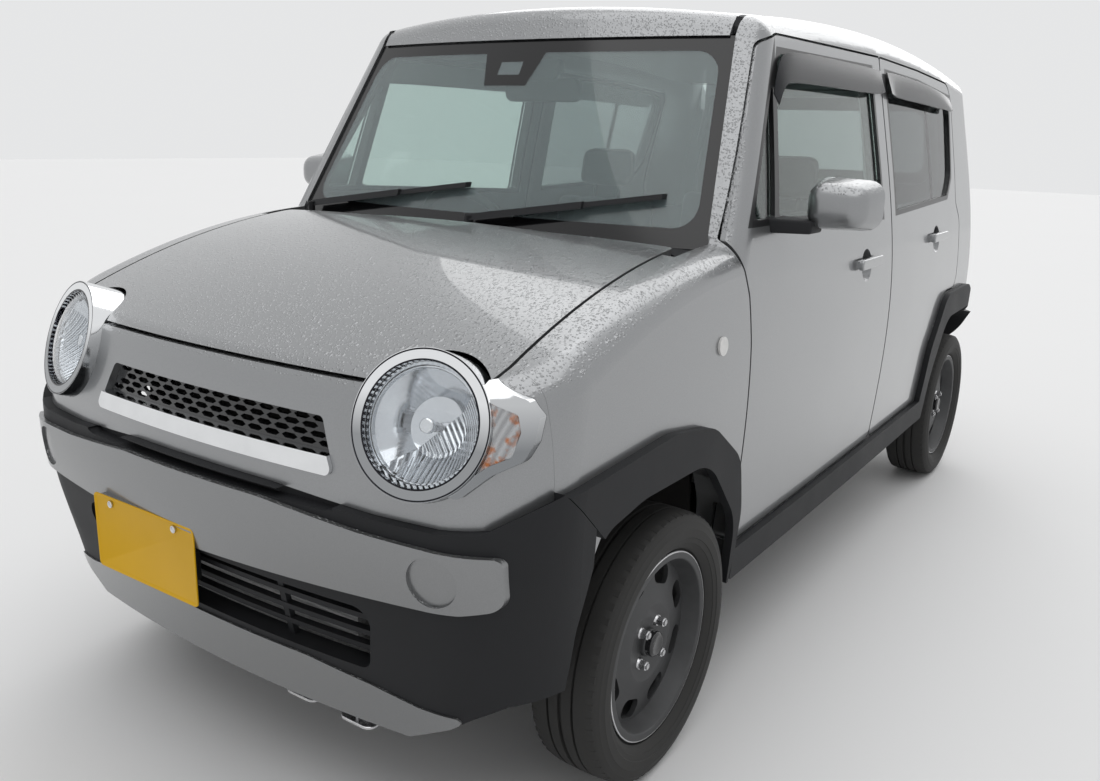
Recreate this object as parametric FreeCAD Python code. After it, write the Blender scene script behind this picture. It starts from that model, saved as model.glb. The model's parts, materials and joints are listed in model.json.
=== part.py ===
import FreeCAD, Part
import math
import os

V = FreeCAD.Vector

# A tall kei-class wagon with round headlamps, black cladding and steel wheels.
# Millimetres. +Z up, front at -Y, the car's left side at +X, origin on the ground under the middle.

# Driving sizes of the whole car
LENGTH = 3395.0
WIDTH = 1475.0
HEIGHT = 1665.0
WHEELBASE = 2425.0
FRONT_OVERHANG = 610.0
TRACK_FRONT = 1295.0
TRACK_REAR = 1290.0

NOSE = -LENGTH / 2
TAIL = LENGTH / 2
FRONT_AXLE = NOSE + FRONT_OVERHANG
REAR_AXLE = FRONT_AXLE + WHEELBASE

# Wheels and tyres: 165/60R15 on a pressed steel rim
TYRE_RADIUS = 289.0
TYRE_WIDTH = 165.0
BEAD_RADIUS = 191.0
RIM_LIP_RADIUS = 203.0
RIM_WIDTH = 126.0
SPINDLE_RADIUS = 17.0
KINGPIN_X = 567.0
DISC_HOLES = 8
DISC_HOLE_CIRCLE = 145.0

# How far each skin lies inside the body's outer form, and how far trim stands proud of it
PANEL = 28.0
HOOD_PANEL = 22.0
ROOF_PANEL = 40.0
DOOR_PANEL = 45.0
PILLAR_FACE = 52.0
TAILGATE_FACE = 66.0
CABIN_WALL = 95.0
TAILGATE_PANEL = 58.0
BUMPER_PROUD = 20.0
BAR_PROUD = 30.5
CLADDING_PROUD = 20.0
REAR_BUMPER_PROUD = 43.5
LAMP_PROUD = 10.0
GLASS_IN = 6.0
GLASS_THICK = 5.0

# Gaps: between panels that move apart, and under pieces that are seated on others
GAP = 7.0
SEAT = 0.3
FLANGE = 24.0

# Number plates: two holes at a standard spacing, the front one beside the middle as on the real car
PLATE_HOLES = 210.0
PLATE_HOLE_RADIUS = 3.2
FRONT_PAD_FACE = -1690.0
REAR_PAD_FACE = 1659.0
FRONT_PLATE = (-158.0, 553.0)
REAR_PLATE = (0.0, 868.0)

DOOR_BOTTOM = 400.0
SILL_BOTTOM = 300.0
HEADER = 1545.0
ROOF_REAR = 1500.0
CANTRAIL = 547.0
DITCH = 14.0
HOOD_LIP = 908.0
NOSE_END = -1497.0

# Headlamp: a flat ring that faces a little outwards and leans back with the nose
HEADLAMP = (508.0, -1603.0, 854.0)
LAMP_AXIS = (0.212, -0.918, 0.334)
BEZEL_RADIUS = 127.0
LENS_RADIUS = 105.0
RING_FACE = 8.0
LENS_DOME = 260.0
BOWL_DEPTH = 95.0


# Drawing helpers
def rounded(points, plane, at=0.0):
    """A closed wire through (a, b, radius) corners in plane 'yz', 'xz' or 'xy'."""

    def place(p):
        if plane == "yz":
            return V(at, p.x, p.y)
        if plane == "xz":
            return V(p.x, at, p.y)
        return V(p.x, p.y, at)

    corners = []
    n = len(points)
    for i, (a, b, radius) in enumerate(points):
        here = V(a, b, 0)
        into = (V(points[i - 1][0], points[i - 1][1], 0) - here).normalize()
        out = (V(points[(i + 1) % n][0], points[(i + 1) % n][1], 0) - here).normalize()
        if radius <= 0 or (into + out).Length < 1e-6:
            corners.append((here, here, here))
            continue
        half = into.getAngle(out) / 2
        reach = radius / math.tan(half)
        bisector = (into + out).normalize()
        centre = here + bisector * (radius / math.sin(half))
        corners.append((here + into * reach, centre - bisector * radius, here + out * reach))
    edges = []
    for i, (start, middle, end) in enumerate(corners):
        if (start - end).Length > 1e-6:
            edges.append(Part.Arc(place(start), place(middle), place(end)).toShape())
        follow = corners[(i + 1) % n][0]
        if (follow - end).Length > 1e-6:
            edges.append(Part.makeLine(place(end), place(follow)))
    return Part.Wire(edges)


def prism(points, plane, low, high, grow=0.0):
    """A solid from rounded corners in a plane between two stations, its outline grown by some mm."""
    face = Part.Face(rounded(points, plane, low))
    if grow:
        face = face.makeOffset2D(grow)
    along = {"yz": V(high - low, 0, 0), "xz": V(0, high - low, 0), "xy": V(0, 0, high - low)}[plane]
    solid = face.extrude(along)
    return solid


def box(x0, x1, y0, y1, z0, z1):
    return Part.makeBox(x1 - x0, y1 - y0, z1 - z0, V(x0, y0, z0))


def cylinder(radius, start, end):
    start, end = V(*start), V(*end)
    return Part.makeCylinder(radius, (end - start).Length, start, end - start)


def fused(shapes):
    whole = shapes[0]
    for shape in shapes[1:]:
        whole = whole.fuse(shape)
    return whole.removeSplitter()


def mirrored(shape):
    return shape.mirror(V(0, 0, 0), V(1, 0, 0))


def both(shape):
    """The left-hand solid and its right-hand twin."""
    return Part.makeCompound([shape, mirrored(shape)])


def save(name, shape):
    os.makedirs("parts", exist_ok=True)
    solids = [s for s in shape.Solids if s.Volume > 500]
    whole = solids[0] if len(solids) == 1 else Part.makeCompound(solids)
    whole.exportStep("parts/" + name + ".step")
    state = "valid" if whole.isValid() else "NOT VALID"
    print(name, len(solids), "solids", round(whole.Volume / 1e6, 3), "litres", state)


# The body's outer form: plan sections joined by a loft, then cut by the screen, bonnet and roof skins.
# height, front, rear, half width, front corner radius, rear corner radius
SECTIONS = [
    (240.0, -1605.0, 1590.0, 690.0, 190.0, 150.0),
    (500.0, -1652.0, 1640.0, 712.0, 185.0, 150.0),
    (740.0, -1662.0, 1658.0, 724.0, 180.0, 150.0),
    (912.0, -1616.0, 1655.0, 720.0, 175.0, 150.0),
    (1130.0, -1500.0, 1640.0, 693.0, 170.0, 150.0),
    (1340.0, -1360.0, 1622.0, 652.0, 160.0, 145.0),
    (1700.0, -1120.0, 1568.0, 582.0, 150.0, 135.0),
]
NOSE_CROWN, SIDE_CROWN, TAIL_CROWN = 3500.0, 90000.0, 6000.0

# Skins: peak height, peak station, long radius, cross radius
ROOF_SKIN = (HEIGHT, 300.0, 9500.0, 4200.0)
BONNET_SKIN = (1124.0, -718.0, 2000.0, 8000.0)

# Windscreen: a leaning cylinder through its foot and its head at the middle
SCREEN_FOOT = (-899.0, 1090.0)
SCREEN_HEAD = (-642.0, 1530.0)
SCREEN_CROWN = 3000.0
EDGE_ROUND = 70.0


def meet(c0, r0, c1, r1, pick):
    """Where two circles meet, the one for which pick is largest."""
    d = math.hypot(c1[0] - c0[0], c1[1] - c0[1])
    a = (r0 * r0 - r1 * r1 + d * d) / (2 * d)
    h = math.sqrt(max(r0 * r0 - a * a, 0))
    ux, uy = (c1[0] - c0[0]) / d, (c1[1] - c0[1]) / d
    spots = [(c0[0] + a * ux - s * h * uy, c0[1] + a * uy + s * h * ux) for s in (1, -1)]
    return max(spots, key=pick)


def outline(z, front, rear, half, front_corner, rear_corner):
    """The plan outline at one height: four large arcs joined by four tangent corner arcs."""
    nose = (0.0, front + NOSE_CROWN)
    tail = (0.0, rear - TAIL_CROWN)
    middle = (front + rear) / 2
    side = (half - SIDE_CROWN, middle)

    def corner(end, end_radius, radius, sign):
        c = meet(end, end_radius - radius, side, SIDE_CROWN - radius, lambda p: p[0] * 10 + sign * p[1])
        d0 = math.hypot(c[0] - end[0], c[1] - end[1])
        on_end = (end[0] + (c[0] - end[0]) * end_radius / d0, end[1] + (c[1] - end[1]) * end_radius / d0)
        d1 = math.hypot(c[0] - side[0], c[1] - side[1])
        on_side = (side[0] + (c[0] - side[0]) * SIDE_CROWN / d1, side[1] + (c[1] - side[1]) * SIDE_CROWN / d1)
        mx, my = on_end[0] + on_side[0] - 2 * c[0], on_end[1] + on_side[1] - 2 * c[1]
        d2 = math.hypot(mx, my)
        return on_end, (c[0] + mx / d2 * radius, c[1] + my / d2 * radius), on_side

    a0, a1, a2 = corner(nose, NOSE_CROWN, front_corner, -1)
    b0, b1, b2 = corner(tail, TAIL_CROWN, rear_corner, 1)

    def arc(p, q, r):
        return Part.Arc(V(p[0], p[1], z), V(q[0], q[1], z), V(r[0], r[1], z)).toShape()

    def flip(p):
        return (-p[0], p[1])

    return Part.Wire([
        arc(flip(a0), (0, front), a0), arc(a0, a1, a2), arc(a2, (half, middle), b2), arc(b2, b1, b0),
        arc(b0, (0, rear), flip(b0)), arc(flip(b0), flip(b1), flip(b2)),
        arc(flip(b2), (-half, middle), flip(a2)), arc(flip(a2), flip(a1), flip(a0)),
    ])


def screen_body(inset):
    """All that lies behind the windscreen's surface."""
    rise = math.atan2(SCREEN_HEAD[0] - SCREEN_FOOT[0], SCREEN_HEAD[1] - SCREEN_FOOT[1])
    along, outward = V(0, math.sin(rise), math.cos(rise)), V(0, -math.cos(rise), math.sin(rise))
    base = V(0, *SCREEN_FOOT) - outward * SCREEN_CROWN - along * 1500
    return Part.makeCylinder(SCREEN_CROWN - inset, 3000, base, along)


def bonnet_body(drop):
    """All that lies under the bonnet's skin."""
    peak, station, long_radius, cross_radius = BONNET_SKIN
    centre = V(0, station, peak - cross_radius)
    return Part.makeTorus(cross_radius - long_radius, long_radius - drop, centre, V(0, 1, 0))


def roof_body(drop):
    """All that lies under the roof's skin."""
    peak, station, long_radius, cross_radius = ROOF_SKIN
    centre = V(0, station, peak - long_radius)
    return Part.makeTorus(long_radius - cross_radius, cross_radius - drop, centre, V(1, 0, 0))


FORMS = {}


def form(inset, smooth=False, sides_only=False):
    """The body's solid form moved inwards by some mm, or outwards where that is negative."""
    key = (inset, smooth, sides_only)
    if key in FORMS:
        return FORMS[key]
    wires = []
    for z, front, rear, half, front_corner, rear_corner in SECTIONS:
        wires.append(outline(z, front + inset, rear - inset, half - inset,
                             max(front_corner - inset, 20), max(rear_corner - inset, 20)))
    solid = Part.makeLoft(wires, True, False)
    above = box(-900, 900, -1600, 1900, 1440, 1800).cut(roof_body(inset))
    solid = solid.cut(above)
    if not sides_only:
        ahead = box(-900, 900, -1900, -420, 800, 1800).cut(bonnet_body(inset)).cut(screen_body(inset))
        solid = solid.cut(ahead)
    solid = solid.removeSplitter()
    if smooth:
        edges = []
        for edge in solid.Edges:
            b = edge.BoundBox
            pillar = b.ZMax > 1500 and b.ZMin > 1040 and b.ZMax - b.ZMin > 300 and b.YMax < 0
            aside = b.XMin > 400 or b.XMax < -400
            shoulder = aside and b.YMax < -790 and b.ZMin > 900 and b.ZMax < 1140 and b.ZMax - b.ZMin > 40
            if b.ZMin > 1500 or pillar or shoulder:
                edges.append(edge)
        solid = solid.makeFillet(EDGE_ROUND - inset, edges)
    FORMS[key] = solid
    return solid


def skin(outer, inner, window):
    """What lies in a window between two forms."""
    return form(outer, outer == 0).common(window).cut(form(inner))


# Side outlines, as station, height, corner radius
FRONT_DOOR = [(-745, DOOR_BOTTOM, 30), (-750, 880, 200), (-760, 990, 60), (-802, 1106, 8), (-560, 1528, 40),
              (-480, 1552, 60), (321, 1560, 8), (321, DOOR_BOTTOM, 30)]
REAR_DOOR = [(329, DOOR_BOTTOM, 30), (329, 1560, 8), (760, 1550, 300), (1238, 1528, 80), (1203, 1108, 40),
             (1262, 1040, 60), (1262, 787, 50), (1063, 787, 120), (917, 594, 130), (899, DOOR_BOTTOM, 20)]
QUARTER_LIGHT = [(-720, 1146, 14), (-600, 1146, 8), (-527, 1462, 6)]
FRONT_WINDOW = [(-574, 1146, 12), (-502, 1470, 60), (-478, 1512, 40), (235, 1520, 22), (235, 1112, 12)]
REAR_WINDOW = [(385, 1116, 12), (385, 1518, 22), (760, 1510, 300), (1200, 1480, 60), (1140, 1205, 100),
               (1065, 1138, 40)]

# Wheel openings and their trim as distance behind the axle, height, corner radius
FRONT_ARCH = [(-372, 100, 0), (-352, 480, 170), (-232, 683, 140), (232, 683, 140), (345, 480, 170), (366, 100, 0)]
FRONT_LIP = [(-372, 100, 0), (-352, 480, 120), (-300, 640, 90), (-150, 668, 200), (120, 668, 160), (304, 480, 150),
             (333, 100, 0)]
REAR_ARCH = [(-350, 100, 0), (-335, 480, 170), (-228, 683, 140), (222, 683, 140), (322, 480, 170), (326, 100, 0)]
FRONT_TRIM = [(-399.5, 743.5, 0), (-40, 768, 250), (130, 742, 150), (284, 636, 120), (335, 490, 150), (335, 394, 10),
              (326, 310, 4), (-100, 310, 0), (-100, 455.5, 0)]
REAR_TRIM = [(-430, 310, 4), (-430, 394, 10), (-412, 590, 140), (-270, 778, 130), (110, 778, 110), (340, 655, 60),
             (340, 648, 2), (0, 648, 0), (-300, 310, 4)]
SILL_TRIM = [(-756, 312, 10), (-756, 394, 6), (915, 394, 6), (915, 312, 10)]

# The bumper's upper edge: in front as distance from the middle and height, then down the side to the wheel opening
NOSE_LINE = [(0, 704), (200, 703), (430, 690), (560, 690), (640, 697), (712, 743), (724, 751.6)]
WING_LINE = [(NOSE_END, 751.6), (-1404, 662.2)]


def at_axle(points, axle):
    return [(axle + y, z, r) for y, z, r in points]


# Grille holes: pitch across and up
GRILLE_PITCH = (44.0, 13.5)
GRILLE_ROWS = 4

# Front view outlines, as distance from the middle, height, corner radius
SCREEN_VIEW = [(-627.6, 1084, 2), (-546.7, 1544.7, 2), (546.7, 1544.7, 2), (627.6, 1084, 2)]
CENTRE_VIEW = [(-650, 1000, 0), (-628, 1084, 0), (-CANTRAIL, 1545, 0), (-CANTRAIL, 1800, 0),
               (CANTRAIL, 1800, 0), (CANTRAIL, 1545, 0), (628, 1084, 0), (650, 1000, 0)]
GRILLE_VIEW = [(-349, 740, 12), (-305, 836, 14), (305, 836, 14), (349, 740, 12)]
STRIP_VIEW = [(-360, 730, 0), (-360, 774, 0), (360, 774, 0), (360, 730, 0)]
LOBE_VIEW = [(520, 945, 10), (600, 933, 20), (668, 907, 16), (685, 880, 14), (685, 840, 20), (677, 812, 16),
             (640, 790, 30), (597, 748, 16), (520, 760, 10)]
LOBE_LENS_VIEW = [(560, 918, 6), (606, 908, 10), (660, 886, 10), (668, 858, 10), (663, 820, 12), (636, 806, 24),
                  (594, 770, 6), (560, 780, 6)]
INTAKE_VIEW = [(-402, 378, 26), (-430, 513, 34), (430, 513, 34), (402, 378, 26)]
SLOT_VIEW = [(-372, 690, 3), (-345, 700.5, 8), (345, 700.5, 8), (372, 690, 3), (345, 684, 8), (-345, 684, 8)]
BAR_VIEW = [(-674, 566, 28), (-674, 659, 16), (-430, 665, 300), (-200, 682, 300), (200, 682, 300), (430, 665, 300),
            (674, 659, 16), (674, 566, 28), (610, 553, 60), (330, 541, 300), (0, 527, 0), (-330, 541, 300),
            (-610, 553, 60)]
BAR_PIT = (566, 606, 45)
SKID_VIEW = [(-594, 325, 8), (-500, 328, 30), (-400, 346, 60), (-250, 362, 200), (250, 362, 200), (400, 346, 60),
             (500, 328, 30), (594, 325, 8), (560, 300, 16), (472, 256, 20), (-472, 256, 20), (-560, 300, 16)]
BUMPER_FOOT = [(424, 200), (424, 284), (540, 286), (600, 328), (650, 355), (800, 372), (800, 200)]
TAILGATE_VIEW = [(-560, 655, 30), (-585, 860, 10), (-575, 1160, 30), (-530, 1400, 200), (-505, 1700, 0),
                 (505, 1700, 0), (530, 1400, 200), (575, 1160, 30), (585, 860, 10), (560, 655, 30)]
REAR_GLASS_VIEW = [(-500, 1150, 50), (-462, 1500, 50), (462, 1500, 50), (500, 1150, 50)]
TAIL_LAMP_VIEW = [(592, 870, 12), (584, 1150, 12), (661, 1150, 12), (694, 870, 12)]

# Bonnet in plan, as distance from the middle, station, corner radius
HOOD_PLAN = [(-592, -903, 16), (-300, -946, 300), (300, -946, 300), (592, -903, 16), (600, -1490, 40),
             (560, -1800, 0), (-560, -1800, 0), (-600, -1490, 40)]


# Body shell
def door_line(ahead, top, low, forward=1950.0):
    """The side outline of all that lies behind the front door's front edge, moved ahead by some mm."""
    return [(-745 - ahead, low, 0), (-750 - ahead, 880, 200), (-760 - ahead, 990, 60), (-805 - ahead, 1102, 0),
            (-972, 1102, 0), (-972, top, 0), (forward, top, 0), (forward, low, 0)]


def fender_room(grow):
    """Side outline of the front fender."""
    low = WING_LINE[1]
    edge = [(NOSE_END - grow, WING_LINE[0][1], 0), (NOSE_END - grow, 1200, 0), (-971, 1200, 0),
            (-971, 1130, 0), (-809 + grow, 1130, 0), (-809 + grow, 1094, 0), (-767 + grow, 990, 60), (-757 + grow, 880, 200),
            (-752 + grow, SILL_BOTTOM, 0), (low[0], SILL_BOTTOM, 0), (low[0], low[1], 0)]
    return prism(edge, "yz", 380, 900)


def body_side():
    side = form(0, True).common(prism(door_line(44, 1800, SILL_BOTTOM), "yz", 300, 900)).cut(form(CABIN_WALL))
    side = side.cut(fender_room(SEAT).cut(form(PANEL + SEAT)))
    side = side.cut(prism(CENTRE_VIEW, "xz", -1100, ROOF_REAR + 20))
    beyond = box(-900, 900, 1300, 1900, 200, 1800).cut(form(TAILGATE_FACE))
    side = side.cut(prism(TAILGATE_VIEW, "xz", 1350, 1900, GAP).common(beyond))
    side = side.cut(prism(TAILGATE_VIEW, "xz", 1350, 1900, -FLANGE))
    side = side.cut(box(-900, 900, ROOF_REAR + 12, 1900, 1440, 1800).cut(form(TAILGATE_FACE)).cut(
        box(546, 900, 1400, 1900, 1400, 1900)))
    side = side.cut(prism(TAIL_LAMP_VIEW, "xz", 1350, 1900).cut(form(34)))
    outside = box(300, 900, -1000, 1300, 300, 1700).cut(form(PILLAR_FACE))
    for door in (FRONT_DOOR, REAR_DOOR):
        side = side.cut(prism(door, "yz", 300, 900, GAP - 1).common(outside))
        side = side.cut(prism(door, "yz", 300, 900, -FLANGE))
    side = side.cut(prism(at_axle(FRONT_ARCH, FRONT_AXLE), "yz", 300, 900))
    side = side.cut(prism(at_axle(REAR_ARCH, REAR_AXLE), "yz", 300, 900))
    side = side.cut(box(300, 900, 1420, 1900, 200, 647))
    return max(side.Solids, key=lambda s: s.Volume)


def seals():
    """Rubber strips between the door openings' flanges and the doors, and round the tailgate's opening."""
    strips = []
    layer = form(DOOR_PANEL + SEAT, False, True).cut(form(PILLAR_FACE - SEAT, False, True))
    for door in (FRONT_DOOR, REAR_DOOR):
        ring = prism(door, "yz", 300, 900, -9).cut(prism(door, "yz", 300, 900, -21))
        strips.append(max(layer.common(ring).Solids, key=lambda s: s.Volume))
    return Part.makeCompound(strips)


def roof():
    panel = skin(0, ROOF_PANEL, box(-CANTRAIL + DITCH, CANTRAIL - DITCH, -720, ROOF_REAR, HEADER, 1800))
    return panel


def roof_moulding():
    window = box(CANTRAIL - DITCH + SEAT, CANTRAIL - SEAT, -560, ROOF_REAR - 5, HEADER + 5, 1800)
    return skin(4, 30, window)


def windscreen():
    slab = prism(SCREEN_VIEW, "xz", -1000, -400)
    return slab.common(screen_body(GLASS_IN)).cut(screen_body(GLASS_IN + GLASS_THICK))


def cowl():
    room = box(-622, 622, -965, -780, 1000, 1150).common(bonnet_body(16)).cut(bonnet_body(34))
    room = room.cut(screen_body(-SEAT)).cut(prism(HOOD_PLAN, "xy", 900, 1300, GAP))
    return max(room.Solids, key=lambda s: s.Volume)


def lamp_point(along):
    """A point on the headlamp's axis, some mm ahead of its middle."""
    return V(*HEADLAMP) + V(*LAMP_AXIS).normalize() * along


def lamp_barrel(radius, back, front):
    return Part.makeCylinder(radius, front - back, lamp_point(back), V(*LAMP_AXIS))


def lamp_dome(sink):
    """The ball whose cap is the headlamp lens."""
    rise = LENS_DOME - math.sqrt(LENS_DOME ** 2 - LENS_RADIUS ** 2)
    return Part.makeSphere(LENS_DOME - sink, lamp_point(rise - LENS_DOME))


def hood_room(grow):
    """The space of the bonnet's outline, grown on every side but away from the headlamps."""
    room = prism(HOOD_PLAN, "xy", HOOD_LIP - grow, 1300, grow)
    return room.cut(both(lamp_barrel(BEZEL_RADIUS + GAP - grow, -300, 200)))


def hood():
    return form(0, True).common(hood_room(0)).cut(form(HOOD_PANEL))


def front_fender():
    wing = skin(0, PANEL, fender_room(0))
    wing = wing.cut(prism(HOOD_PLAN, "xy", 800, 1300, GAP)).cut(box(300, 622.3, -971, -780, 1000, 1200))
    wing = wing.cut(box(300, 628.3, -971, -780, 1078, 1200))
    wing = wing.cut(prism(at_axle(FRONT_ARCH, FRONT_AXLE), "yz", 300, 900)).cut(lamp_room(SEAT))
    return max(wing.Solids, key=lambda s: s.Volume)


def lamp_room(grow):
    """The headlamp's space: a round barrel and the turn lamp's lobe beside it."""
    barrel = lamp_barrel(BEZEL_RADIUS + grow, -200, 100)
    return barrel.fuse(prism(LOBE_VIEW, "xz", -1900, -1420, grow)).removeSplitter()


def under_nose(drop, low=200.0):
    """All that lies under the nose's and the fenders' lower edge, lowered by some mm."""
    line = [(x, z - drop, 0) for x, z in NOSE_LINE]
    left = [(-x, z, r) for x, z, r in reversed(line[1:])]
    ahead = prism([(-800, low, 0), (-800, line[-1][1], 0)] + left + line + [(800, line[-1][1], 0), (800, low, 0)],
                  "xz", -1900, NOSE_END)
    (y0, z0), (y1, z1) = WING_LINE
    wing = prism([(y0 - 1, low, 0), (y0 - 1, z0 - drop + 0.96, 0), (y1, z1 - drop, 0), (y1, low, 0)], "yz", 300, 900)
    return ahead.fuse([wing, mirrored(wing)])


def nose_panel():
    room = box(-726, 726, -1800, NOSE_END - SEAT, 600, 1100).cut(under_nose(0))
    room = room.cut(hood_room(GAP)).cut(both(lamp_room(SEAT))).cut(prism(GRILLE_VIEW, "xz", -1900, -1300))
    panel = skin(0, PANEL, room)
    return max(panel.Solids, key=lambda s: s.Volume)


def headlamp_bezel():
    """Chrome ring and the lobe's frame, with a pocket behind the turn lamp's lens."""
    lobe = form(-LAMP_PROUD, True).common(prism(LOBE_VIEW, "xz", -1900, -1420)).cut(hood_room(GAP))
    whole = lobe.fuse(lamp_barrel(BEZEL_RADIUS, -120, RING_FACE)).removeSplitter()
    pocket = prism(LOBE_LENS_VIEW, "xz", -1900, -1420).cut(lamp_barrel(BEZEL_RADIUS, -200, 200)).cut(form(14))
    whole = whole.cut(form(34)).cut(lamp_barrel(LENS_RADIUS, -200, 200)).cut(pocket)
    return max(whole.Solids, key=lambda s: s.Volume)


def headlamp_lens():
    """The round domed lens and the turn lamp's lens."""
    round_lens = lamp_barrel(LENS_RADIUS - SEAT, -40, 60).common(lamp_dome(0)).cut(lamp_dome(3))
    lobe = form(2 - LAMP_PROUD, True).common(prism(LOBE_LENS_VIEW, "xz", -1900, -1420, -SEAT))
    lobe = lobe.cut(form(6 - LAMP_PROUD)).cut(lamp_barrel(BEZEL_RADIUS + SEAT, -200, 200))
    return Part.makeCompound([round_lens, max(lobe.Solids, key=lambda s: s.Volume)])


def headlamp_bowl():
    cup = lamp_barrel(LENS_RADIUS - SEAT, -BOWL_DEPTH, -4)
    return cup.cut(lamp_barrel(LENS_RADIUS - 6, 6 - BOWL_DEPTH, 10))


def grille_mesh():
    """A thin panel pierced by staggered rows of wide six-sided holes."""
    panel = skin(18, PANEL - 2, prism(GRILLE_VIEW, "xz", -1900, -1300, -SEAT))
    holes = []
    for row in range(GRILLE_ROWS):
        z = 784 + row * GRILLE_PITCH[1]
        shift = GRILLE_PITCH[0] / 2 * (row % 2)
        for column in range(-8, 9):
            x = column * GRILLE_PITCH[0] + shift
            if abs(x) > 318 - (z - 784) * 0.45:
                continue
            w, h = GRILLE_PITCH[0] / 2 - 2.5, GRILLE_PITCH[1] / 2 + 1.5
            holes.append(prism([(x - w, z, 0), (x - w * 0.55, z + h * 0.62, 0), (x + w * 0.55, z + h * 0.62, 0),
                                (x + w, z, 0), (x + w * 0.55, z - h * 0.62, 0), (x - w * 0.55, z - h * 0.62, 0)],
                               "xz", -1700, -1500))
    return panel.cut(Part.makeCompound(holes))


def grille_strip():
    strip = prism(GRILLE_VIEW, "xz", -1900, -1300, -SEAT).common(prism(STRIP_VIEW, "xz", -1900, -1300))
    return form(-8).common(strip).cut(form(17.7))


def front_bumper():
    """Bumper cover with its intake bars, wrapped round to the wheel openings."""
    cover = form(-BUMPER_PROUD).common(under_nose(2 * SEAT, 284.0)).cut(form(25))
    cover = cover.cut(prism(INTAKE_VIEW, "xz", -1900, -1300)).cut(prism(SKID_VIEW, "xz", -1900, -1300, SEAT))
    foot = prism([(x, z, 0) for x, z in BUMPER_FOOT], "xz", -1900, -1200)
    cover = cover.cut(both(foot)).cut(box(-424, 424, -1900, -1300, 200, 300))
    cover = cover.cut(both(prism(at_axle(FRONT_LIP, FRONT_AXLE), "yz", 300, 950)))
    cover = cover.cut(prism(SLOT_VIEW, "xz", -1900, -1300).cut(form(6)))
    cover = max(cover.Solids, key=lambda s: s.Volume)
    bars = []
    for z in (411.0, 445.0, 480.0):
        bars.append(form(2).common(box(-438, 438, -1900, -1300, z - 6, z + 6)).cut(form(18)))
    for x in (-190.0, 190.0):
        bars.append(form(4).common(box(x - 7, x + 7, -1900, -1300, 370, 525)).cut(form(16)))
    return fused([cover] + bars).cut(plate_holes(FRONT_PLATE, -1900, -1500))


def plate_holes(middle, y0, y1):
    x, z = middle
    return Part.makeCompound([
        cylinder(PLATE_HOLE_RADIUS, (x + s * PLATE_HOLES / 2, y0, z), (x + s * PLATE_HOLES / 2, y1, z)) for s in (-1, 1)
    ])


def bumper_bar():
    """The bar across the bumper, with a dished pit at each end and a flat pad for the number plate."""
    bar = form(-BAR_PROUD).common(prism(BAR_VIEW, "xz", -1900, -1380))
    x, z = FRONT_PLATE
    bar = bar.fuse(box(x - 142, x + 142, FRONT_PAD_FACE, -1640, z - 15, z + 15)).removeSplitter()
    bar = bar.cut(form(-BUMPER_PROUD - SEAT)).cut(plate_holes(FRONT_PLATE, -1900, -1500))
    x, z, radius = BAR_PIT
    pit = cylinder(radius, (x, -1900, z), (x, -1300, z)).cut(form(-BUMPER_PROUD - 4))
    return max(bar.cut(both(pit)).Solids, key=lambda s: s.Volume)


def skid_plate():
    return form(-24).common(prism(SKID_VIEW, "xz", -1900, -1300)).cut(form(6))


def side_cladding():
    """Arch and sill trim of one side as one strip."""
    front = prism(at_axle(FRONT_TRIM, FRONT_AXLE), "yz", 500, 900)
    rear = prism(at_axle(REAR_TRIM, REAR_AXLE), "yz", 500, 900)
    sill = prism(SILL_TRIM, "yz", 500, 900)
    room = front.fuse([rear, sill])
    room = room.cut(prism(at_axle(FRONT_LIP, FRONT_AXLE), "yz", 400, 950))
    room = room.cut(prism(at_axle(REAR_ARCH, REAR_AXLE), "yz", 400, 950))
    return form(-CLADDING_PROUD).common(room).cut(form(-SEAT)).removeSplitter()


def rear_bumper():
    room = box(-800, 800, 1440, 1900, 284, 647 - SEAT)
    room = room.cut(both(prism(at_axle(REAR_ARCH, REAR_AXLE), "yz", 400, 950)))
    cover = form(-REAR_BUMPER_PROUD).common(room).cut(form(20))
    return max(cover.Solids, key=lambda s: s.Volume)


def tail_lamp():
    return form(-6).common(prism(TAIL_LAMP_VIEW, "xz", 1350, 1900, -SEAT)).cut(form(33.7))


# Opening panels
def door(points, windows):
    panel = form(0, True).common(prism(points, "yz", 300, 900)).cut(form(DOOR_PANEL, False, True))
    for window in windows:
        panel = panel.cut(prism(window, "yz", 300, 900))
    return max(panel.Solids, key=lambda s: s.Volume)


def door_glass(windows):
    layer = form(GLASS_IN + 4, False, True).cut(form(GLASS_IN + 4 + GLASS_THICK, False, True))
    panes = [layer.common(prism(w, "yz", 300, 900, -SEAT)) for w in windows]
    return Part.makeCompound([s for p in panes for s in p.Solids])


def handle(x, y, z):
    """A pull handle over the door skin at x."""
    grip = prism([(y - 98, z - 15, 14), (y - 98, z + 15, 14), (y + 98, z + 15, 14), (y + 98, z - 15, 14)],
                 "yz", x + 11, x + 24)
    grip = grip.makeFillet(5, [e for e in grip.Edges if e.BoundBox.XMin > x + 23])
    feet = [box(x - 20, x + 14, y + s * 78 - 13, y + s * 78 + 13, z - 11, z + 11) for s in (-1, 1)]
    return fused([grip] + feet)


def door_with_handle(points, windows, x, y, z):
    """A door panel with a round bowl behind its handle."""
    bowl = Part.makeSphere(62, V(x + 44, y, z - 4))
    return fused([door(points, windows).cut(bowl), handle(x, y, z)])


def mirror():
    """A housing with rounded edges on a flat arm."""
    shell = prism([(742, 1118, 30), (742, 1242, 40), (900, 1238, 40), (905, 1126, 40)], "xz", -604, -504)
    shell = shell.makeFillet(28, [e for e in shell.Edges if e.BoundBox.YMax < -600])
    shell = shell.makeFillet(12, [e for e in shell.Edges if e.BoundBox.YMin > -506])
    arm = box(640, 770, -590, -530, 1120, 1143).cut(form(-SEAT))
    return fused([shell, arm])


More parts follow.
